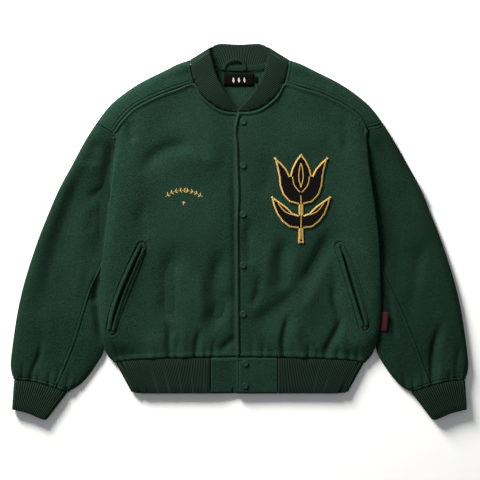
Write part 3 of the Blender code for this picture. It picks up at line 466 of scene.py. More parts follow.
# creases in the fleece, along points of the photograph's pixels:
# points, reach to the line's left and right in mm, depth in mm (ridges above 0)
creases = {
    "front_right": (
        ((142, 178), (150, 160), (166, 149), (192, 143), 14, 16, -3.4),
        ((172, 158), (198, 158), (222, 166), 16, 16, 1.5),
        ((132, 120), (130, 131), (134, 143), 8, 8, -2.4),
        ((176, 238), (172, 270), (172, 298), (165, 326), 27, 21, -6.6),
        ((176, 262), (178, 290), (176, 318), 12, 12, 1.8),
        ((233, 243), (220, 262), (215, 285), (218, 306), (211, 336), 18, 16, -5.0),
        ((231, 288), (225, 303), (215, 324), 15, 13, -2.4),
        ((197, 268), (202, 300), (203, 324), 12, 12, 2.2),
        ((233, 124), (233.5, 160), (235, 225), (235, 290), (235, 340), (236, 380), 3, 8, -2.6),
        ((238, 336), (229, 343), (218, 353), 9, 8, -2.6),
        ((121, 142), (113, 180), (105, 225), (101, 265), (99, 305), 6, 6, 2.4),
        ((148, 200), (140, 222), (150, 240), 14, 14, -1.5),
        ((113, 340), (117, 352), (121, 370), 3.5, 3.5, -1.2),
        ((121, 343), (125, 354), (128, 370), 3.5, 3.5, -1.1),
        ((131, 347), (134, 357), (136, 370), 4, 4, -1.0),
        ((162, 316), (169, 330), (169, 345), (170, 372), 7, 7, -4.8),
        ((177, 336), (176, 350), (177, 372), 5, 4, -2.4),
        ((200, 326), (196, 346), (195, 372), 8, 5, -4.2),
        ((205, 344), (206, 372), 4, 4, -1.8),
        ((214, 336), (212, 372), 6, 5, -2.4),
        ((184, 318), (184, 345), (185, 374), 7, 7, 1.8),
        ((150, 330), (152, 350), (153, 372), 8, 8, 1.4),
    ),
    "front_left": (
        ((287, 234), (281, 262), (284, 294), 18, 13, -4.8),
        ((335, 224), (323, 247), (310, 271), (298, 290), 20, 12, -4.8),
        ((305, 278), (289, 298), (271, 312), (248, 328), 18, 15, -3.2),
        ((301, 244), (293, 268), (290, 292), 8, 8, 1.2),
        ((331, 252), (318, 284), (303, 314), 12, 12, 2.2),
        ((250, 214), (248, 245), (252, 268), 13, 10, -3.4),
        ((268, 238), (268, 262), (268, 290), 10, 10, 1.8),
        ((259, 272), (258, 292), (251, 308), 9, 8, -2.8),
        ((331, 258), (336, 285), (334, 302), 10, 8, -2.0),
        ((343, 112), (345, 138), (346, 158), 12, 8, -2.0),
        ((262, 150), (270, 172), (258, 200), 12, 14, -1.2),
        ((366, 130), (372, 170), (378, 215), (382, 262), (380, 305), 7, 9, 3.6),
        ((250, 330), (252, 345), (253, 372), 5, 5, -1.5),
        ((263, 337), (263, 372), 4, 4, -1.6),
        ((292, 308), (286, 326), (283, 345), (286, 374), 9, 6, -5.2),
        ((298, 316), (297, 335), (302, 352), (305, 374), 8, 8, 2.4),
        ((309, 340), (308, 372), 5, 4, -2.4),
        ((318, 346), (317, 372), 4, 4, -1.8),
        ((331, 270), (334, 300), (340, 321), (334, 336), (326, 352), (325, 374), 9, 7, -4.6),
        ((343, 322), (343, 372), 7, 7, 1.6),
        ((337, 345), (338, 372), 5, 4, -2.2),
        ((349, 347), (350, 372), 4, 4, -1.8),
        ((357, 343), (358, 370), 4, 4, -1.6),
        ((271, 346), (273, 372), 4, 4, -1.4),
    ),
    "sleeve_right": (
        ((114, 157), (98, 162), (84, 178), (71, 206), (58, 243), (48, 285), (40, 330), 56, 20, -7.4),
        ((99, 138), (94, 150), (90, 166), 14, 14, -3.0),
        ((113, 128), (111, 150), (107, 185), (103, 220), (100, 262), 6, 13, -4.4),
        ((118, 200), (108, 195), (98, 193), (86, 199), 12, 9, -3.2),
        ((90, 208), (91, 220), (88, 234), 10, 10, -1.6),
        ((99, 272), (96, 298), (98, 325), (103, 350), 5, 8, -4.8),
        ((96, 276), (95, 291), (92, 306), 7, 7, -3.6),
        ((83, 258), (80, 276), (76, 300), 9, 9, 1.2),
        ((29, 318), (39, 338), (40, 352), (32, 374), (29, 398), 6, 5, -2.8),
        ((47, 300), (51, 330), (50, 362), 12, 12, 1.2),
        ((23, 358), (22, 396), 4, 4, -1.8),
        ((38, 366), (37, 400), 4, 4, -1.6),
        ((50, 364), (47, 402), 5, 4, -2.4),
        ((59, 360), (55, 404), 5, 4, -2.0),
        ((69, 368), (64, 408), 5, 4, -2.4),
        ((77, 371), (71, 406), 4, 4, -1.5),
    ),
    "sleeve_left": (
        ((381, 116), (387, 146), (393, 180), (399, 215), (404, 250), (407, 300), 60, 28, -6.6),
        ((425, 232), (418, 270), (411, 314), 12, 14, -2.6),
        ((410, 180), (420, 215), (428, 250), 14, 14, 1.6),
        ((384, 276), (389, 305), (396, 345), 8, 7, -2.8),
        ((446, 312), (435, 340), (432, 362), (432, 400), 10, 5, -3.7),
        ((448, 326), (441, 350), (440, 372), (440, 402), 8, 6, 1.1),
        ((463, 336), (457, 362), (456, 400), 6, 6, -1.4),
        ((403, 370), (408, 410), 4, 4, -1.8),
        ((412, 372), (416, 408), 4, 4, -2.2),
        ((422, 370), (425, 406), 4, 4, -1.7),
        ((449, 366), (450, 400), 4, 4, -1.6),
        ((466, 362), (466, 396), 4, 4, -1.5),
    ),
    "back_panel": (
        ((150, 84), (178, 76), (196, 72), 9, 9, -1.2),
        ((290, 72), (312, 78), (334, 88), 9, 9, -1.2),
    ),
}
# lines where the hidden side stands off the floor a little
hiddenCreases = {
    "back_panel": (
        ((160, 130), (200, 190), (210, 260), 12, 16, 1.4), ((330, 140), (300, 210), (300, 280), 14, 12, 1.3),
        ((150, 250), (170, 300), (160, 372), 9, 12, 1.5), ((215, 290), (222, 372), 7, 8, 1.3),
        ((262, 310), (256, 372), 6, 7, 1.2), ((305, 300), (322, 372), 8, 8, 1.4), ((130, 330), (138, 372), 6, 6, 1.1),
        ((345, 325), (340, 372), 6, 6, 1.2), ((196, 330), (193, 372), 5, 6, 1.0), ((282, 336), (284, 372), 5, 5, 1.0),
    ),
    "sleeve_right": (
        ((60, 250), (52, 300), (44, 350), 10, 12, 1.3), ((84, 230), (76, 290), (70, 340), 9, 10, 1.1),
        ((40, 350), (38, 398), 5, 5, 1.1), ((62, 352), (54, 402), 5, 6, 1.2), ((30, 356), (28, 396), 4, 4, 0.9),
    ),
    "sleeve_left": (
        ((408, 220), (424, 280), (432, 340), 11, 10, 1.3), ((398, 250), (408, 310), (416, 350), 9, 8, 1.1),
        ((440, 350), (444, 400), 5, 5, 1.1), ((420, 356), (424, 402), 5, 6, 1.2), ((455, 350), (458, 396), 4, 5, 0.9),
    ),
}
creaseScale = {"front_left": 1.1, "front_right": 1.25, "sleeve_left": 1.15, "sleeve_right": 1.15}
# a straight crease's bow, the shares of its length over which it starts and ends, and how many reaches it is felt for
creasing = {"step": 3 * mm, "bow": 0.6 * mm, "start": 0.35, "end": 0.25, "reaches": 3}
ripples = ((8.0, 0.3, 1.2), (24.0, 1.7, 0.2))  # how many to the metre, level in the noise, height in mm


def creaseTracks(name, table=creases):
    made = []
    for *points, left, right, depth in table.get(name, ()):
        places = [spot(*point) for point in points]
        if len(places) == 2:
            (ax, ay), (bx, by) = places
            places.insert(1, ((ax + bx) / 2 + creasing["bow"], (ay + by) / 2))
        scale = creaseScale.get(name, 1)
        made.append((Track(places, creasing["step"]), left * mm, right * mm, scale * depth * mm))
    return made


def creaseHeight(tracks, x, y):
    total = 0.0
    for track, left, right, depth in tracks:
        distance, side, share = track.away(x, y)
        reach = left if side > 0 else right
        if distance < creasing["reaches"] * reach and 0 < share < 1:
            ends = soft(share / creasing["start"]) * soft((1 - share) / creasing["end"])
            total += depth * math.exp(-((distance / reach) ** 2)) * ends
    return total + sum(height * noise.noise(Vector((x, y, level)) * scale) for scale, level, height in ripples) * mm


cloth = {
    "wall": 3.0 * mm, "hemWall": 3.5 * mm, "levels": 3,
    "rims": (3.0, 3.5, 2.6, 1.2), "rimError": 0.004 * mm,  # widths of the walls' rims in mm
    "steep": 0.3, "rimTop": 3.7 * mm,  # a steep face below this height is a rim that stands on the floor
    "near": 12 * mm,  # how far from a seam the net is made finer
    "sewn": 4.5 * mm,  # an edge is sewn to what is nearer than this
    "placket": 50 * mm,  # the fronts' long edges lie nearer the middle than this
    "hemFoot": -318 * mm,  # the hem panels are sewn above this, and only folded below
    "neckTop": 3 * mm,  # the back's edge lies on top above this
    "hidden": -0.3, "hiddenShare": 0.3,  # seams are shallow where the cloth slopes down more than this
}
# the raised seam ends at the foot of the armhole, and its stitches a little above that
armhole = {"side": 200 * mm, "foot": 180 * mm, "fade": 26 * mm, "stitched": 194 * mm}
# where the panel underneath is level, at the edge of the other
panelFoot = {"x": (-22 * mm, -4 * mm), "y": (-323.6 * mm, -310 * mm), "z": 7.95 * mm, "slope": 0.3}
# distance from the seam, height, both in mm
seamShapes = {
    "stitched": ((0, -0.9), (1.6, 0.1), (3.4, 0.4), (4.8, 0.2), (6.2, -0.8), (8.2, 0.2), (11, 0)),
    "raised": ((0, -0.7), (1.4, 1.0), (3.2, 2.0), (5.0, 1.3), (6.6, -0.9), (8.4, -0.1), (12, 0)),
    "plain": ((0, -0.8), (2.0, -0.2), (4.0, 0.3), (9, 0)),
    "gathered": ((0, -1.5), (1.6, 0.0), (4.0, 1.0), (8, 0.7), (12, 0)),
    "cord": ((0, 1.1), (1.4, 0.8), (3.0, -0.9), (5.2, -0.1), (9, 0)),
    "edge": ((0, -0.6), (1.5, 1.8), (4.0, 3.1), (6.4, 1.9), (8.2, -0.9), (10, -0.2), (12, 0)),
    "pocket": ((0, -6.5), (1.5, -6.0), (3.3, 0.2), (8.5, 0.0), (10.5, -2.0), (12.6, 0.5), (16, 0)),
    "under": ((0, 0.0), (12, 0)), "panel": ((0, -2.8), (2.2, -0.3), (4, 0.5), (8, 0)),
}
# what the fleece is sewn to flat, and what gathers it
flatSewn = ("front_left", "front_right", "back_panel", "sleeve_left", "sleeve_right", "collar_rib")
gathering = ("hem_rib", "hem_panel_left", "hem_panel_right", "cuff_left", "cuff_right")
# pieces that only lie on those of the other side
layered = {"front_left": "_right", "hem_panel_left": "_right", "front_right": "_left", "hem_panel_right": "_left"}


def outerSkin(name):  # the outer side of a node's wall, as quads
    bm = copyNode(name)
    seen = set()
    for edge in bm.edges:
        if any(abs(edge.calc_length() - rim * mm) < cloth["rimError"] for rim in cloth["rims"]):
            seen.update(edge.link_faces)
    for face in bm.faces:
        if abs(face.normal.z) < cloth["steep"] and all(v.co.z < cloth["rimTop"] for v in face.verts):
            seen.add(face)
    skins = []
    for face in bm.faces:
        if face in seen:
            continue
        skin, stack = [], [face]
        seen.add(face)
        while stack:
            one = stack.pop()
            skin.append(one)
            for edge in one.edges:
                for other in edge.link_faces:
                    if other not in seen:
                        seen.add(other)
                        stack.append(other)
        skins.append(skin)

    def size(skin):
        places = [v.co for face in skin for v in face.verts]
        return sum(max(p[k] for p in places) - min(p[k] for p in places) for k in range(3))

    outer = set(max(skins, key=size))
    bmesh.ops.delete(bm, geom=[face for face in bm.faces if face not in outer], context="FACES")
    joinQuads(bm)
    return bm


nodeTrees = {}


def nodeTree(name):
    if name not in nodeTrees:
        bm = copyNode(name)
        nodeTrees[name] = BVHTree.FromBMesh(bm)
        bm.free()
    return nodeTrees[name]


def neighbour(name, place):  # the piece that a point of this one's edge is sewn to
    best, found = cloth["sewn"], None
    for other in flatSewn + gathering:
        # a sleeve counts for itself too, so the whole of its edge is stitched
        if other.startswith("sleeve") or other != name and not other.endswith(layered.get(name, "none")):
            hit = nodeTree(other).find_nearest(place, best)
            if hit[0] is not None and hit[3] < best:
                best, found = hit[3], other
    return found


def seamKind(name, place):  # which of the seam shapes a place on the edge has
    other = neighbour(name, place)
    kind = "stitched" if other in flatSewn else "gathered" if other in gathering else "edge"
    if name in ("front_right", "hem_panel_right") and kind == "edge":
        return "under"
    if name.startswith("hem_panel"):
        return "under" if place.y < cloth["hemFoot"] else "panel" if kind == "gathered" else kind
    if name == "back_panel":
        return "stitched" if place.z > cloth["neckTop"] and kind == "stitched" else "plain"
    if name.startswith("front") and (kind == "stitched" or kind == "edge" and abs(place.x) > cloth["placket"]):
        return "raised"
    return kind


def seamRuns(bm, name, cuts=4):  # places along the open edge, each with how it is finished
    places = []
    for edge in bm.edges:
        if edge.is_boundary:
            a, b = edge.verts[0].co, edge.verts[1].co
            places += [a.lerp(b, k / cuts) for k in range(cuts)]
    return treeOf(places), [seamKind(name, place) for place in places]


stitchLines = {}
stitching = {
    # how far inside its seam each kind of line runs
    "inset": {"stitched": 6.2 * mm, "raised": 6.6 * mm, "edge": 8.2 * mm, "cord": 4.2 * mm, "pocket": 11.0 * mm},
    "seam": (3.1 * mm, 0.9 * mm), "slit": (2.4 * mm, 0.7 * mm),  # length of a stitch, gap after it
    "thick": 0.62 * mm, "sink": 0.05 * mm,
    "apart": (2.0 * mm, 16 * mm), "fewest": 5,  # places that a line is drawn through
    "overTurn": -0.2, "top": 0.05,  # lowest slopes of the edge and of the cloth
    "neck": 64 * mm, "tip": 13.0 * mm,
}


def seamStitching(bm, edgeTree, kinds):  # lines of stitches inside the sewn edges, as (place, normal) each
    tree = BVHTree.FromBMesh(bm)
    after = {}
    for edge in bm.edges:
        if edge.is_boundary:
            loop = edge.link_loops[0]
            after[loop.vert] = loop.link_loop_next.vert
    left, followers = set(after), set(after.values())
    starts = [vertex for vertex in after if vertex not in followers]
    nearest, farthest = stitching["apart"]
    lines = []
    while left:
        vertex = starts.pop() if starts else min(left, key=lambda v: v.index)
        lines.append([])
        while vertex in left:
            left.discard(vertex)
            run, follower = lines[-1], after[vertex]
            kind = kinds[edgeTree.find(vertex.co)[1]]
            low = kind == "raised" and abs(vertex.co.x) > armhole["side"] and vertex.co.y < armhole["stitched"]
            place = None
            if kind in stitching["inset"] and vertex.normal.z > stitching["overTurn"] and not low:
                inward = vertex.normal.cross((follower.co - vertex.co).normalized())
                place, up, _, _ = tree.find_nearest(vertex.co + inward * stitching["inset"][kind])
            gap = (place - run[-1][0]).length if place is not None and run else nearest
            if place is None or up.z <= stitching["top"] or gap >= farthest:
                lines.append([])
            elif not run or gap > nearest:
                run.append((place, up))
            vertex = follower
    return [run for run in lines if len(run) >= stitching["fewest"]]


def makeFiner(bm, isNear):
    edges = [edge for edge in bm.edges if isNear(edge.verts[0]) and isNear(edge.verts[1])]
    bmesh.ops.subdivide_edges(bm, edges=edges, cuts=1, use_grid_fill=True)


def facing(slope, start=0.05, span=0.4):  # 0 for cloth that doesn't face that way, 1 for cloth that does
    return soft((slope - start) / span)


sleeveSeams = {  # down the sleeve, in the photograph's pixels
    "sleeve_right": ((102, 263), (96, 277), (90, 290), (82, 315), (74.4, 340), (65.3, 363), (54.7, 388)),
    "sleeve_left": ((381, 268), (390, 288), (400, 308), (409, 330), (415, 345), (421, 361), (430, 384)),
}
pockets = {  # along the slit, in mm
    "front_right": ((-194.6, -31.5), (-215, -76), (-234, -121), (-249, -166), (-255.4, -196.0)),
    "front_left": ((201.4, -31.0), (217, -76), (231, -121), (243, -166), (248.5, -187.5)),
}


def slitPoints(name):
    return [(x * mm, y * mm) for x, y in pockets[name]]


def innerLines(name):  # seams and slits within a piece: track, shape and reach
    lines = []
    if name in sleeveSeams:
        lines.append((Track([spot(*point) for point in sleeveSeams[name]]), seamShapes["cord"]))
    if name in pockets:
        lines.append((Track(slitPoints(name)), seamShapes["pocket"]))
    return [(track, shape, shape[-1][0] * mm) for track, shape in lines]


def levelFoot(bm):
    (left, right), (foot, head) = panelFoot["x"], panelFoot["y"]
    for vertex in bm.verts:
        if left < vertex.co.x < right and foot < vertex.co.y < head and vertex.normal.z > panelFoot["slope"]:
            vertex.co.z = max(panelFoot["z"], vertex.co.z)


def makeCloth(name):
    bm = bake(outerSkin(name), smoothing(cloth["levels"]), through=not name.startswith("hem"))
    edgeTree, kinds = seamRuns(bm, name)
    tracks, hidden, lines = creaseTracks(name), creaseTracks(name, hiddenCreases), innerLines(name)

    def isNear(vertex):
        if edgeTree.find(vertex.co)[2] < cloth["near"]:
            return True
        return vertex.normal.z > 0 and any(t.away(vertex.co.x, vertex.co.y)[0] < reach for t, _, reach in lines)

    makeFiner(bm, isNear)
    bm.normal_update()
    moves = []
    for vertex in bm.verts:
        x, y, _ = vertex.co
        slope = vertex.normal.z
        up, under = facing(slope), facing(-slope, 0.5)
        height = 0.0
        if up > 0:
            height += creaseHeight(tracks, x, y) * up
            for track, shape, reach in lines:
                distance = track.away(x, y)[0]
                if distance < reach:
                    height += graph(shape, distance / mm) * mm * up
        elif hidden and under > 0:
            height = max(0.0, creaseHeight(hidden, x, y)) * under
        _, index, distance = edgeTree.find(vertex.co)
        groove = graph(seamShapes[kinds[index]], distance / mm) * mm if distance < cloth["near"] else 0
        if kinds[index] == "raised" and abs(x) > armhole["side"]:
            groove *= soft((y - armhole["foot"]) / armhole["fade"])
        moves.append((vertex, height, groove))
    for vertex, height, groove in moves:
        vertex.co += vertex.normal * groove * (1 if vertex.normal.z > cloth["hidden"] else cloth["hiddenShare"])
        vertex.co.z = max(0, vertex.co.z + height)
    if name == "hem_panel_right":
        levelFoot(bm)
    bm.normal_update()
    stitchLines[name] = seamStitching(bm, edgeTree, kinds)
    return bm


clothTrees = {}
for nodeName in ("back_panel", "sleeve_left", "sleeve_right", "front_right", "front_left",
                 "hem_panel_left", "hem_panel_right"):
    bm = makeCloth(nodeName)
    clothTrees[nodeName] = BVHTree.FromBMesh(bm)
    wall = cloth["hemWall"] if nodeName.startswith("hem") else cloth["wall"]
    bm = bake(bm, ("SOLIDIFY", {"thickness": wall, "offset": -1.0, "use_rim": True}))
    for vertex in bm.verts:
        vertex.co.z = max(0, vertex.co.z)
    # the sleeves take the darker fleece, which is partly painted shade
    addPiece(nodeName + "_fleece", bm, "sleeve_fleece_painted_shade" if nodeName in sleeveSeams else "fleece", "fleece", nodeName)

rib = {
    "levels": 2, "pitch": 3.3 * mm, "plain": 2.2 * mm,  # a stretch wider than this has no ribs yet
    "short": 2.9 * mm, "opposite": -0.8, "crown": 0.2 * mm,  # what tells crests and troughs from the rest
    "corner": (78, 0.8), "slant": 0.7,
    # turns of rounding, and how far crests are pushed out and troughs in
    "rounding": {"collar_rib": 40}, "push": {"collar_rib": (0.85 * mm, 0.95 * mm)},
    "plainPush": (0.45 * mm, 0.55 * mm),
}
collar = {"neck": Vector((0, 0.31, 0)), "tuck": 1.6 * mm, "under": 4 * mm, "fade": 3 * mm}
hemSeam = {"width": 3.2 * mm, "dip": 2.4 * mm, "panels": ("hem_panel_left", "hem_panel_right")}
upperSlope = 0.2  # least z of the normals on a piece's upper side


def sharpen(bm, angle, weight):  # edges that the smoothing keeps
    crease = bm.edges.layers.float.new("crease_edge")
    for edge in bm.edges:
        if len(edge.link_faces) == 2 and edge.calc_face_angle() > math.radians(angle):
            edge[crease] = weight


def runsRound(edge):  # across the ribs, not along them
    run = edge.verts[1].co - edge.verts[0].co
    return abs(run.y) < rib["slant"] * run.length


def ribPlainSide(bm, name):  # cuts the plain stretches into ribs; gives the new vertices and which are crests
    low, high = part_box(name)
    middle = (low + high) / 2
    pairs = []
    for face in bm.faces:
        if len(face.verts) == 4 and (face.calc_center_median() - middle).dot(face.normal) > 0:
            rows = [edge for edge in face.edges if runsRound(edge)]
            if len(rows) == 2 and sum(edge.calc_length() for edge in rows) > 2 * rib["plain"]:
                pairs.append(rows)
    made = []
    for rows in pairs:
        cells = 2 * max(1, round(sum(edge.calc_length() for edge in rows) / 2 / rib["pitch"]))
        for edge in rows:
            a, b = edge.verts[0].co.copy(), edge.verts[1].co.copy()
            made += [(a.lerp(b, k / cells), k % 2 == 0) for k in range(1, cells)]
        bmesh.ops.subdivide_edges(bm, edges=rows, cuts=cells - 1, use_grid_fill=True)
    verts = list(bm.verts)
    tree = treeOf([vertex.co for vertex in verts])
    return [(verts[tree.find(place)[1]], isCrest) for place, isCrest in made]


def findRibs(bm, known):  # each vertex's neighbours across the rib, and which vertices are crests or troughs
    beside, moves = {}, []
    for vertex in bm.verts:
        near = [edge.other_vert(vertex) for edge in vertex.link_edges if edge.calc_length() < rib["short"]]
        if len(near) < 2:
            continue
        ways = [(other.co - vertex.co).normalized() for other in near]
        bend, a, b = min((ways[a].dot(ways[b]), a, b) for a in range(len(near)) for b in range(a))
        if len(near) == 2 or bend < rib["opposite"]:
            beside[vertex] = near[a], near[b]
        crown = (vertex.co - (near[a].co + near[b].co) / 2).dot(vertex.normal)
        if vertex not in known and abs(crown) > rib["crown"]:
            moves.append((vertex, crown > 0))
    return beside, moves


def tuckUnder(bm):  # the collar's underside keeps inside its upper edge
    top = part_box("collar_rib")[0].z + collar["under"]
    for vertex in bm.verts:
        inward = (collar["neck"] - vertex.co).to_2d().normalized()
        vertex.co.xy += inward * collar["tuck"] * soft((top - vertex.co.z) / collar["fade"])


def dipAtPanels(bm):  # the hem dips where the hem panels are sewn to it
    for vertex in bm.verts:
        if vertex.normal.z > upperSlope:
            for panel in hemSeam["panels"]:
                distance = nodeTree(panel).find_nearest(vertex.co, hemSeam["width"])[3]
                if distance is not None:
                    vertex.co.z -= hemSeam["dip"] * soft(1 - distance / hemSeam["width"])


def makeRib(name):
    bm = copyNode(name)
    joinQuads(bm)
    layer = bm.verts.layers.float.new("rib")
    moves = [] if name == "collar_rib" else ribPlainSide(bm, name)
    bm.normal_update()
    beside, found = findRibs(bm, {vertex for vertex, _ in moves})
    for _ in range(rib["rounding"].get(name, 0)):
        places = {v: 0.5 * v.co + 0.25 * (a.co + b.co) for v, (a, b) in beside.items()}
        for vertex, place in places.items():
            vertex.co = place
    bm.normal_update()
    push, sink = rib["push"].get(name, rib["plainPush"])
    for vertex in bm.verts:
        vertex[layer] = 0.5
    # 1 on crests and 0 in troughs, which the rib knit's colours turn into painted highlight and painted shade
    for vertex, isCrest in moves + found:
        vertex[layer] = 1.0 if isCrest else 0.0
        vertex.co += vertex.normal * (push if isCrest else -sink)
    sharpen(bm, *rib["corner"])
    bm = bake(bm, smoothing(rib["levels"]))
    if name == "collar_rib":
        tuckUnder(bm)
    if name == "hem_rib":
        dipAtPanels(bm)
    for vertex in bm.verts:
        vertex.co.z = max(0, vertex.co.z)
    return bm


for nodeName in ("collar_rib", "hem_rib", "cuff_left", "cuff_right"):
    addPiece(nodeName + "_knit", makeRib(nodeName), "rib_knit", "rib_knit", nodeName)

# trims that keep their solid's form, by what they are made of
trims = {
    "fleece": ("welt_left_inner", "welt_left_outer", "welt_right_inner", "welt_right_outer"),
    "twill_tape": ("neck_tape", "hanger_loop"), "woven_label": ("neck_label", "size_tab"),
    "side_label": ("side_tab",), "felt": ("chest_patch",),
}
trimLook = {"levels": 2, "corner": 50, "sharpness": {"welt": 0.55, "neck_label": 1.0}, "plainSharpness": 0.85}
tape = {"up": 1.8 * mm, "out": 0.4 * mm}  # its upper half covers the foot of the collar
welt = {
    "thick": 3.6 * mm, "profile": ((1.5, 0.55), (3.0, 1.0), (5.5, 0.95), (9.0, 0.6), (11.5, 0.25)),
    "open": {"front_right": 1.4 * mm, "front_left": 2.3 * mm}, "width": 9 * mm, "fade": 7 * mm,
    "fall": 6 * mm,  # the front is no farther below
}
carriers = {"welt_left": "front_left", "welt_right": "front_right", "chest_patch": "front_left"}
frontTracks = {name: creaseTracks(name) for name in ("front_left", "front_right")}


def layWelt(bm, carrier):  # lies on the front and stands open at its middle
    slit = Track(slitPoints(carrier))
    for vertex in bm.verts:
        distance, side, share = slit.away(vertex.co.x, vertex.co.y)
        place = nodeTree(carrier).ray_cast(vertex.co, Vector((0, 0, -1)), welt["fall"])[0]
        if place is not None and vertex.normal.z > upperSlope:
            vertex.co.z = place.z + welt["thick"] * graph(welt["profile"], distance / mm)
        width = welt["open"][carrier] * math.sin(math.pi * share)
        vertex.co.x += side * width * soft((welt["width"] - distance) / welt["fade"])


def followCreases(bm, carrier):
    for vertex in bm.verts:
        vertex.co.z += creaseHeight(frontTracks[carrier], vertex.co.x, vertex.co.y)


def makeTrim(name):
    bm = copyNode(name)
    joinQuads(bm)
    own = [value for start, value in trimLook["sharpness"].items() if name.startswith(start)]
    sharpen(bm, trimLook["corner"], own[0] if own else trimLook["plainSharpness"])
    bm = bake(bm, smoothing(trimLook["levels"]))
    if name == "neck_tape":
        middle = sum((v.co.y for v in bm.verts), 0.0) / len(bm.verts)
        for vertex in bm.verts:
            if vertex.normal.z > 0 and vertex.co.y > middle:
                vertex.co.y += tape["up"]
                vertex.co.z += tape["out"]
    for start, carrier in carriers.items():
        if name.startswith(start):
            if start.startswith("welt"):
                layWelt(bm, carrier)
            followCreases(bm, carrier)
    return bm


for look, nodeNames in trims.items():
    for nodeName in nodeNames:
        addPiece(nodeName + "_cloth", makeTrim(nodeName), look, look, nodeName)

snap = {
    "steps": 40, "weld": 0.01 * mm, "onCreases": 5,  # so many from the top follow the front's creases
    "profile": ((0.0, 1.45), (2.6, 1.5), (3.9, 1.6), (4.7, 1.85), (5.4, 1.9), (6.0, 1.65), (6.4, 1.1),
                (6.5, 0.5), (6.2, 0.0), (0.0, 0.0)),  # radius and height in mm, from the crown's middle
}


def makeSnap(number):
    low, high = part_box(f"snap_{number}")
    middle = (low + high) / 2
    bm = bmesh.new()
    line = [bm.verts.new((r * mm, 0, z * mm)) for r, z in snap["profile"]]
    edges = [bm.edges.new(pair) for pair in zip(line, line[1:])]
    bmesh.ops.spin(bm, geom=line + edges, cent=(0, 0, 0), axis=(0, 0, 1), angle=2 * math.pi,
                   steps=snap["steps"], use_merge=True)
    bmesh.ops.remove_doubles(bm, verts=bm.verts, dist=snap["weld"])
    bmesh.ops.recalc_face_normals(bm, faces=bm.faces)
    rise = creaseHeight(frontTracks["front_left"], middle.x, middle.y) if number <= snap["onCreases"] else 0
    bmesh.ops.translate(bm, verts=bm.verts, vec=(middle.x, middle.y, low.z + rise))
    return bm


for number in range(1, 8):
    addPiece(f"snap_{number}_cap", makeSnap(number), "snap_enamel", "snap_enamel", f"snap_{number}")


def makeThread():  # one stitch, a millimetre long and thick, along x
    bm = bmesh.new()
    bmesh.ops.create_uvsphere(bm, u_segments=6, v_segments=4, radius=0.5 * mm)
    bmesh.ops.rotate(bm, verts=bm.verts, matrix=Matrix.Rotation(math.pi / 2, 3, "Y"))
    return newMesh("thread", bm)


thread = makeThread()


def layStitch(bm, place, along, up, length, thick):  # sizes in metres
    along = (along - up * along.dot(up)).normalized()
    turn = Matrix((along, up.cross(along), up)).transposed().to_4x4()
    size = Matrix.Diagonal((length / mm, thick / mm, thick / mm, 1))
    move = Matrix.Translation(place) @ turn @ size
    thread.transform(move)
    bm.from_mesh(thread)
    thread.transform(move.inverted())


def sewLine(bm, line, length, gap):  # a row of stitches through (place, normal) pairs
    left = 0.0
    for (a, up), (b, _) in zip(line, line[1:]):
        step = b - a
        run = step.length
        if run < mm / 1000:
            continue
        while left < run:
            layStitch(bm, a + step * (left / run) - up * stitching["sink"], step, up, length, stitching["thick"])
            left += length + gap
        left -= run


def dropOn(tree, x, y, aloft=0.1):  # where a plumb line meets the cloth, and the cloth's normal there
    return tree.ray_cast(Vector((x, y, aloft)), Vector((0, 0, -1)))[:2]


def ownLine(points, tree, step=2.0 * mm):  # a line drawn from above, laid on the cloth
    made = [dropOn(tree, point.x, point.y) for point in roundedLine(points, step)]
    return [(place, normal) for place, normal in made if place is not None]


def beside(points, distance, step=3 * mm):  # the same line moved to its left
    line = roundedLine(points, step)
    made = []
    for k, point in enumerate(line):
        along = (line[min(k + 1, len(line) - 1)] - line[max(k - 1, 0)]).normalized()
        made.append((point.x - along.y * distance, point.y + along.x * distance))
    return made


# crossing threads that close a pocket's end; "level" is how many mm from the end their height is taken
tack = {
    "rows": 15, "start": 1.5 * mm, "run": 9 * mm, "level": 12, "rise": 0.2 * mm,
    "wide": 11, "taper": 10, "thick": 0.75 * mm,  # the first two in mm
}


def sewTack(bm, tree, end, tip):
    along = (tip - end).normalized()
    across, up = Vector((-along.y, along.x, 0)), Vector((0, 0, 1))
    height = dropOn(tree, *(end + along * tack["level"] * mm))[0].z + tack["rise"]
    for k in range(tack["rows"]):
        share = k / tack["rows"]
        place = Vector((*(end + along * (tack["start"] + tack["run"] * share)), height))
        layStitch(bm, place, across, up, (tack["wide"] - tack["taper"] * share) * mm, tack["thick"])


def sewPocket(bm, name):  # a pointed line of stitches round the slit, and its tacks
    tree, inset = clothTrees[name], stitching["inset"]["pocket"]
    slit = [Vector(point) for point in slitPoints(name)]
    head = slit[0] + (slit[0] - slit[1]).normalized() * stitching["tip"]
    foot = slit[-1] + (slit[-1] - slit[-2]).normalized() * stitching["tip"]
    for distance in (inset, -inset):
        line = ownLine([tuple(head), *beside(slit, distance), tuple(foot)], tree)
        sewLine(bm, line, *stitching["slit"])
    sewTack(bm, tree, slit[0], head)
    sewTack(bm, tree, slit[-1], foot)


def makeSeamThreads():
    bm = bmesh.new()
    for name, lines in stitchLines.items():
        for line in lines:
            if name == "back_panel":  # none inside the neck
                line = [(place, up) for place, up in line if abs(place.x) > stitching["neck"]]
            sewLine(bm, line, *stitching["seam"])
    for name, points in sleeveSeams.items():
        inset = stitching["inset"]["cord"] * (1 if name == "sleeve_right" else -1)
        sewLine(bm, ownLine(beside([spot(*point) for point in points], inset), clothTrees[name]), *stitching["seam"])
    for name in pockets:
        sewPocket(bm, name)
    return bm


addPiece("seam_threads", makeSeamThreads(), "seam_thread", "fleece")

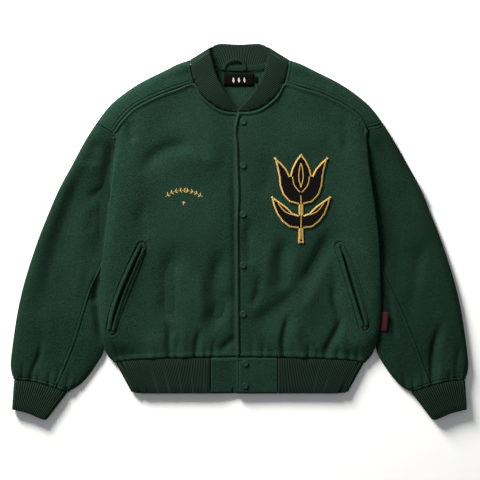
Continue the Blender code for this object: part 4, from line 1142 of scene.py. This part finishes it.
gold = {
    "edge": {"length": 3.9 * mm, "thick": 0.62 * mm, "pitch": 0.56 * mm, "inset": 1.35 * mm,
             "tilt": 0.28, "rise": 0.12 * mm},
    "accent": {"length": 2.3 * mm, "thick": 0.55 * mm, "pitch": 0.56 * mm, "slant": 0.25, "rise": 0.1},
    "centre": (123.0, 66.0),  # of the flower, in mm
    # lines on the flower, in mm from its centre
    "lines": (
        ((0, -82), (0.4, -40), (0, 6)),
        ((-1.5, 12), (-13, 26), (-17, 44)), ((1.5, 12), (13, 26), (17, 44)),
        ((0, 22), (-4.5, 44), (0, 70), (4.5, 44), (0, 22)),
        ((-16, -33), (-32, -26), (-46, -10)), ((16, -33), (32, -26), (46, -10)),
    ),
}
plateEdge = {"level": 0.7, "bend": math.radians(45)}


def topLoop(bm):  # the upper edge of a plate, as a closed ring of places
    chain = {}
    for edge in bm.edges:
        if len(edge.link_faces) == 2:
            up = [face for face in edge.link_faces if face.normal.z > plateEdge["level"]]
            if len(up) == 1 and edge.calc_face_angle() > plateEdge["bend"]:
                for loop in up[0].loops:
                    if loop.edge == edge:
                        chain[loop.vert.index] = (loop.vert.co.copy(), loop.link_loop_next.vert.index)
    start = min(chain)
    ring, at = [], start
    while at in chain and len(ring) <= len(chain):
        place, at = chain[at]
        ring.append(place)
        if at == start:
            break
    return ring + ring[:1]


def sewEdge(bm, ring, look):  # slanting stitches side by side over an edge
    left = 0.0
    for a, b in zip(ring, ring[1:]):
        run = (b - a).length
        along = (b - a) / run
        inward = Vector((-along.y, along.x, 0))
        while left < run:
            across = (inward + Vector((0, 0, look["tilt"]))).normalized()
            up = across.cross(along) * -1
            place = a + along * left + inward * look["inset"] + Vector((0, 0, look["rise"]))
            layStitch(bm, place, across, up if up.z > 0 else -up, look["length"], look["thick"])
            left += look["pitch"]
        left -= run


def makeFlowerThreads():
    bm = bmesh.new()
    plate = copyNode("chest_patch")
    followCreases(plate, "front_left")
    plate.verts.index_update()
    plate.normal_update()
    sewEdge(bm, topLoop(plate), gold["edge"])
    tree = BVHTree.FromBMesh(plate)
    plate.free()
    look = gold["accent"]
    cx, cy = gold["centre"]
    for points in gold["lines"]:
        line = ownLine([((cx + x) * mm, (cy + y) * mm) for x, y in points], tree, look["pitch"])
        for (before, _), (place, up), (after, _) in zip(line, line[1:], line[2:]):
            along = (after - before).normalized()
            across = up.cross(along) + look["slant"] * along
            layStitch(bm, place + up * look["rise"] * mm, across, up, look["length"], look["thick"])
    return bm


addPiece("chest_flower_threads", makeFlowerThreads(), "gold_thread", "gold_thread")

sprig = {
    "stem": ((165.5, 196.5), (173, 192.0), (183.5, 190.2), (194, 192.2), (203.0, 197.0)),  # the photograph's pixels
    "step": 0.9 * mm, "stitch": 1.5 * mm, "slant": 0.5, "rise": 0.1,
    "leaves": 9, "leaf": (6.6 * mm, 2.9 * mm), "lean": 52,
    "bud": (183.6, 203.2), "petals": (30, 90, 150, 270), "petal": (4.6 * mm, 2.3 * mm),
    "thick": 0.5 * mm,
}
leafLook = {"pitch": 0.52 * mm, "swell": 0.8, "least": 0.5 * mm, "slant": 0.35, "rise": 0.12}
labelMark = {"leaves": ((-12, 298.5), (-1, 298.5), (10, 298.5)), "leaf": (11 * mm, 5.4 * mm)}  # places in mm


def layLeaf(bm, tree, x, y, heading, length, width):  # parallel threads across a leaf
    look = leafLook
    count = round(length / look["pitch"])
    along = Vector((math.cos(heading), math.sin(heading), 0))
    across = Vector((-math.sin(heading), math.cos(heading), 0)) + look["slant"] * along
    for k in range(count):
        share = (k + 0.5) / count
        reach = width * math.sin(math.pi * share ** look["swell"])
        place, up = dropOn(tree, x + math.cos(heading) * length * share, y + math.sin(heading) * length * share)
        if place is not None and reach > look["least"]:
            layStitch(bm, place + up * look["rise"] * mm, across, up, reach, sprig["thick"])


def makeSprig():
    bm = bmesh.new()
    tree = clothTrees["front_right"]
    line = ownLine([spot(*point) for point in sprig["stem"]], tree, sprig["step"])
    for (a, up), (b, _) in zip(line, line[1:]):
        along = (b - a).normalized() + sprig["slant"] * up.cross(b - a).normalized()
        layStitch(bm, a + up * sprig["rise"] * mm, along, up, sprig["stitch"], sprig["thick"])
    lean = math.radians(sprig["lean"])
    for n in range(sprig["leaves"]):
        k = round((len(line) - 2) * (n + 0.5) / sprig["leaves"])
        a, b = line[k][0], line[k + 1][0]
        heading = math.atan2(b.y - a.y, b.x - a.x)
        for side in (1, -1):  # the leaves lean towards the middle
            turn = heading + side * lean if n < sprig["leaves"] / 2 else heading + math.pi - side * lean
            layLeaf(bm, tree, a.x, a.y, turn, *sprig["leaf"])
    for turn in sprig["petals"]:
        layLeaf(bm, tree, *spot(*sprig["bud"]), math.radians(turn), *sprig["petal"])
    return bm


addPiece("chest_sprig_threads", makeSprig(), "gold_thread", "gold_thread")


def makeLabelMark():
    bm = bmesh.new()
    for x, y in labelMark["leaves"]:
        layLeaf(bm, nodeTree("neck_label"), x * mm, y * mm, math.pi / 2, *labelMark["leaf"])
    return bm


addPiece("label_mark_threads", makeLabelMark(), "label_thread", "woven_label")
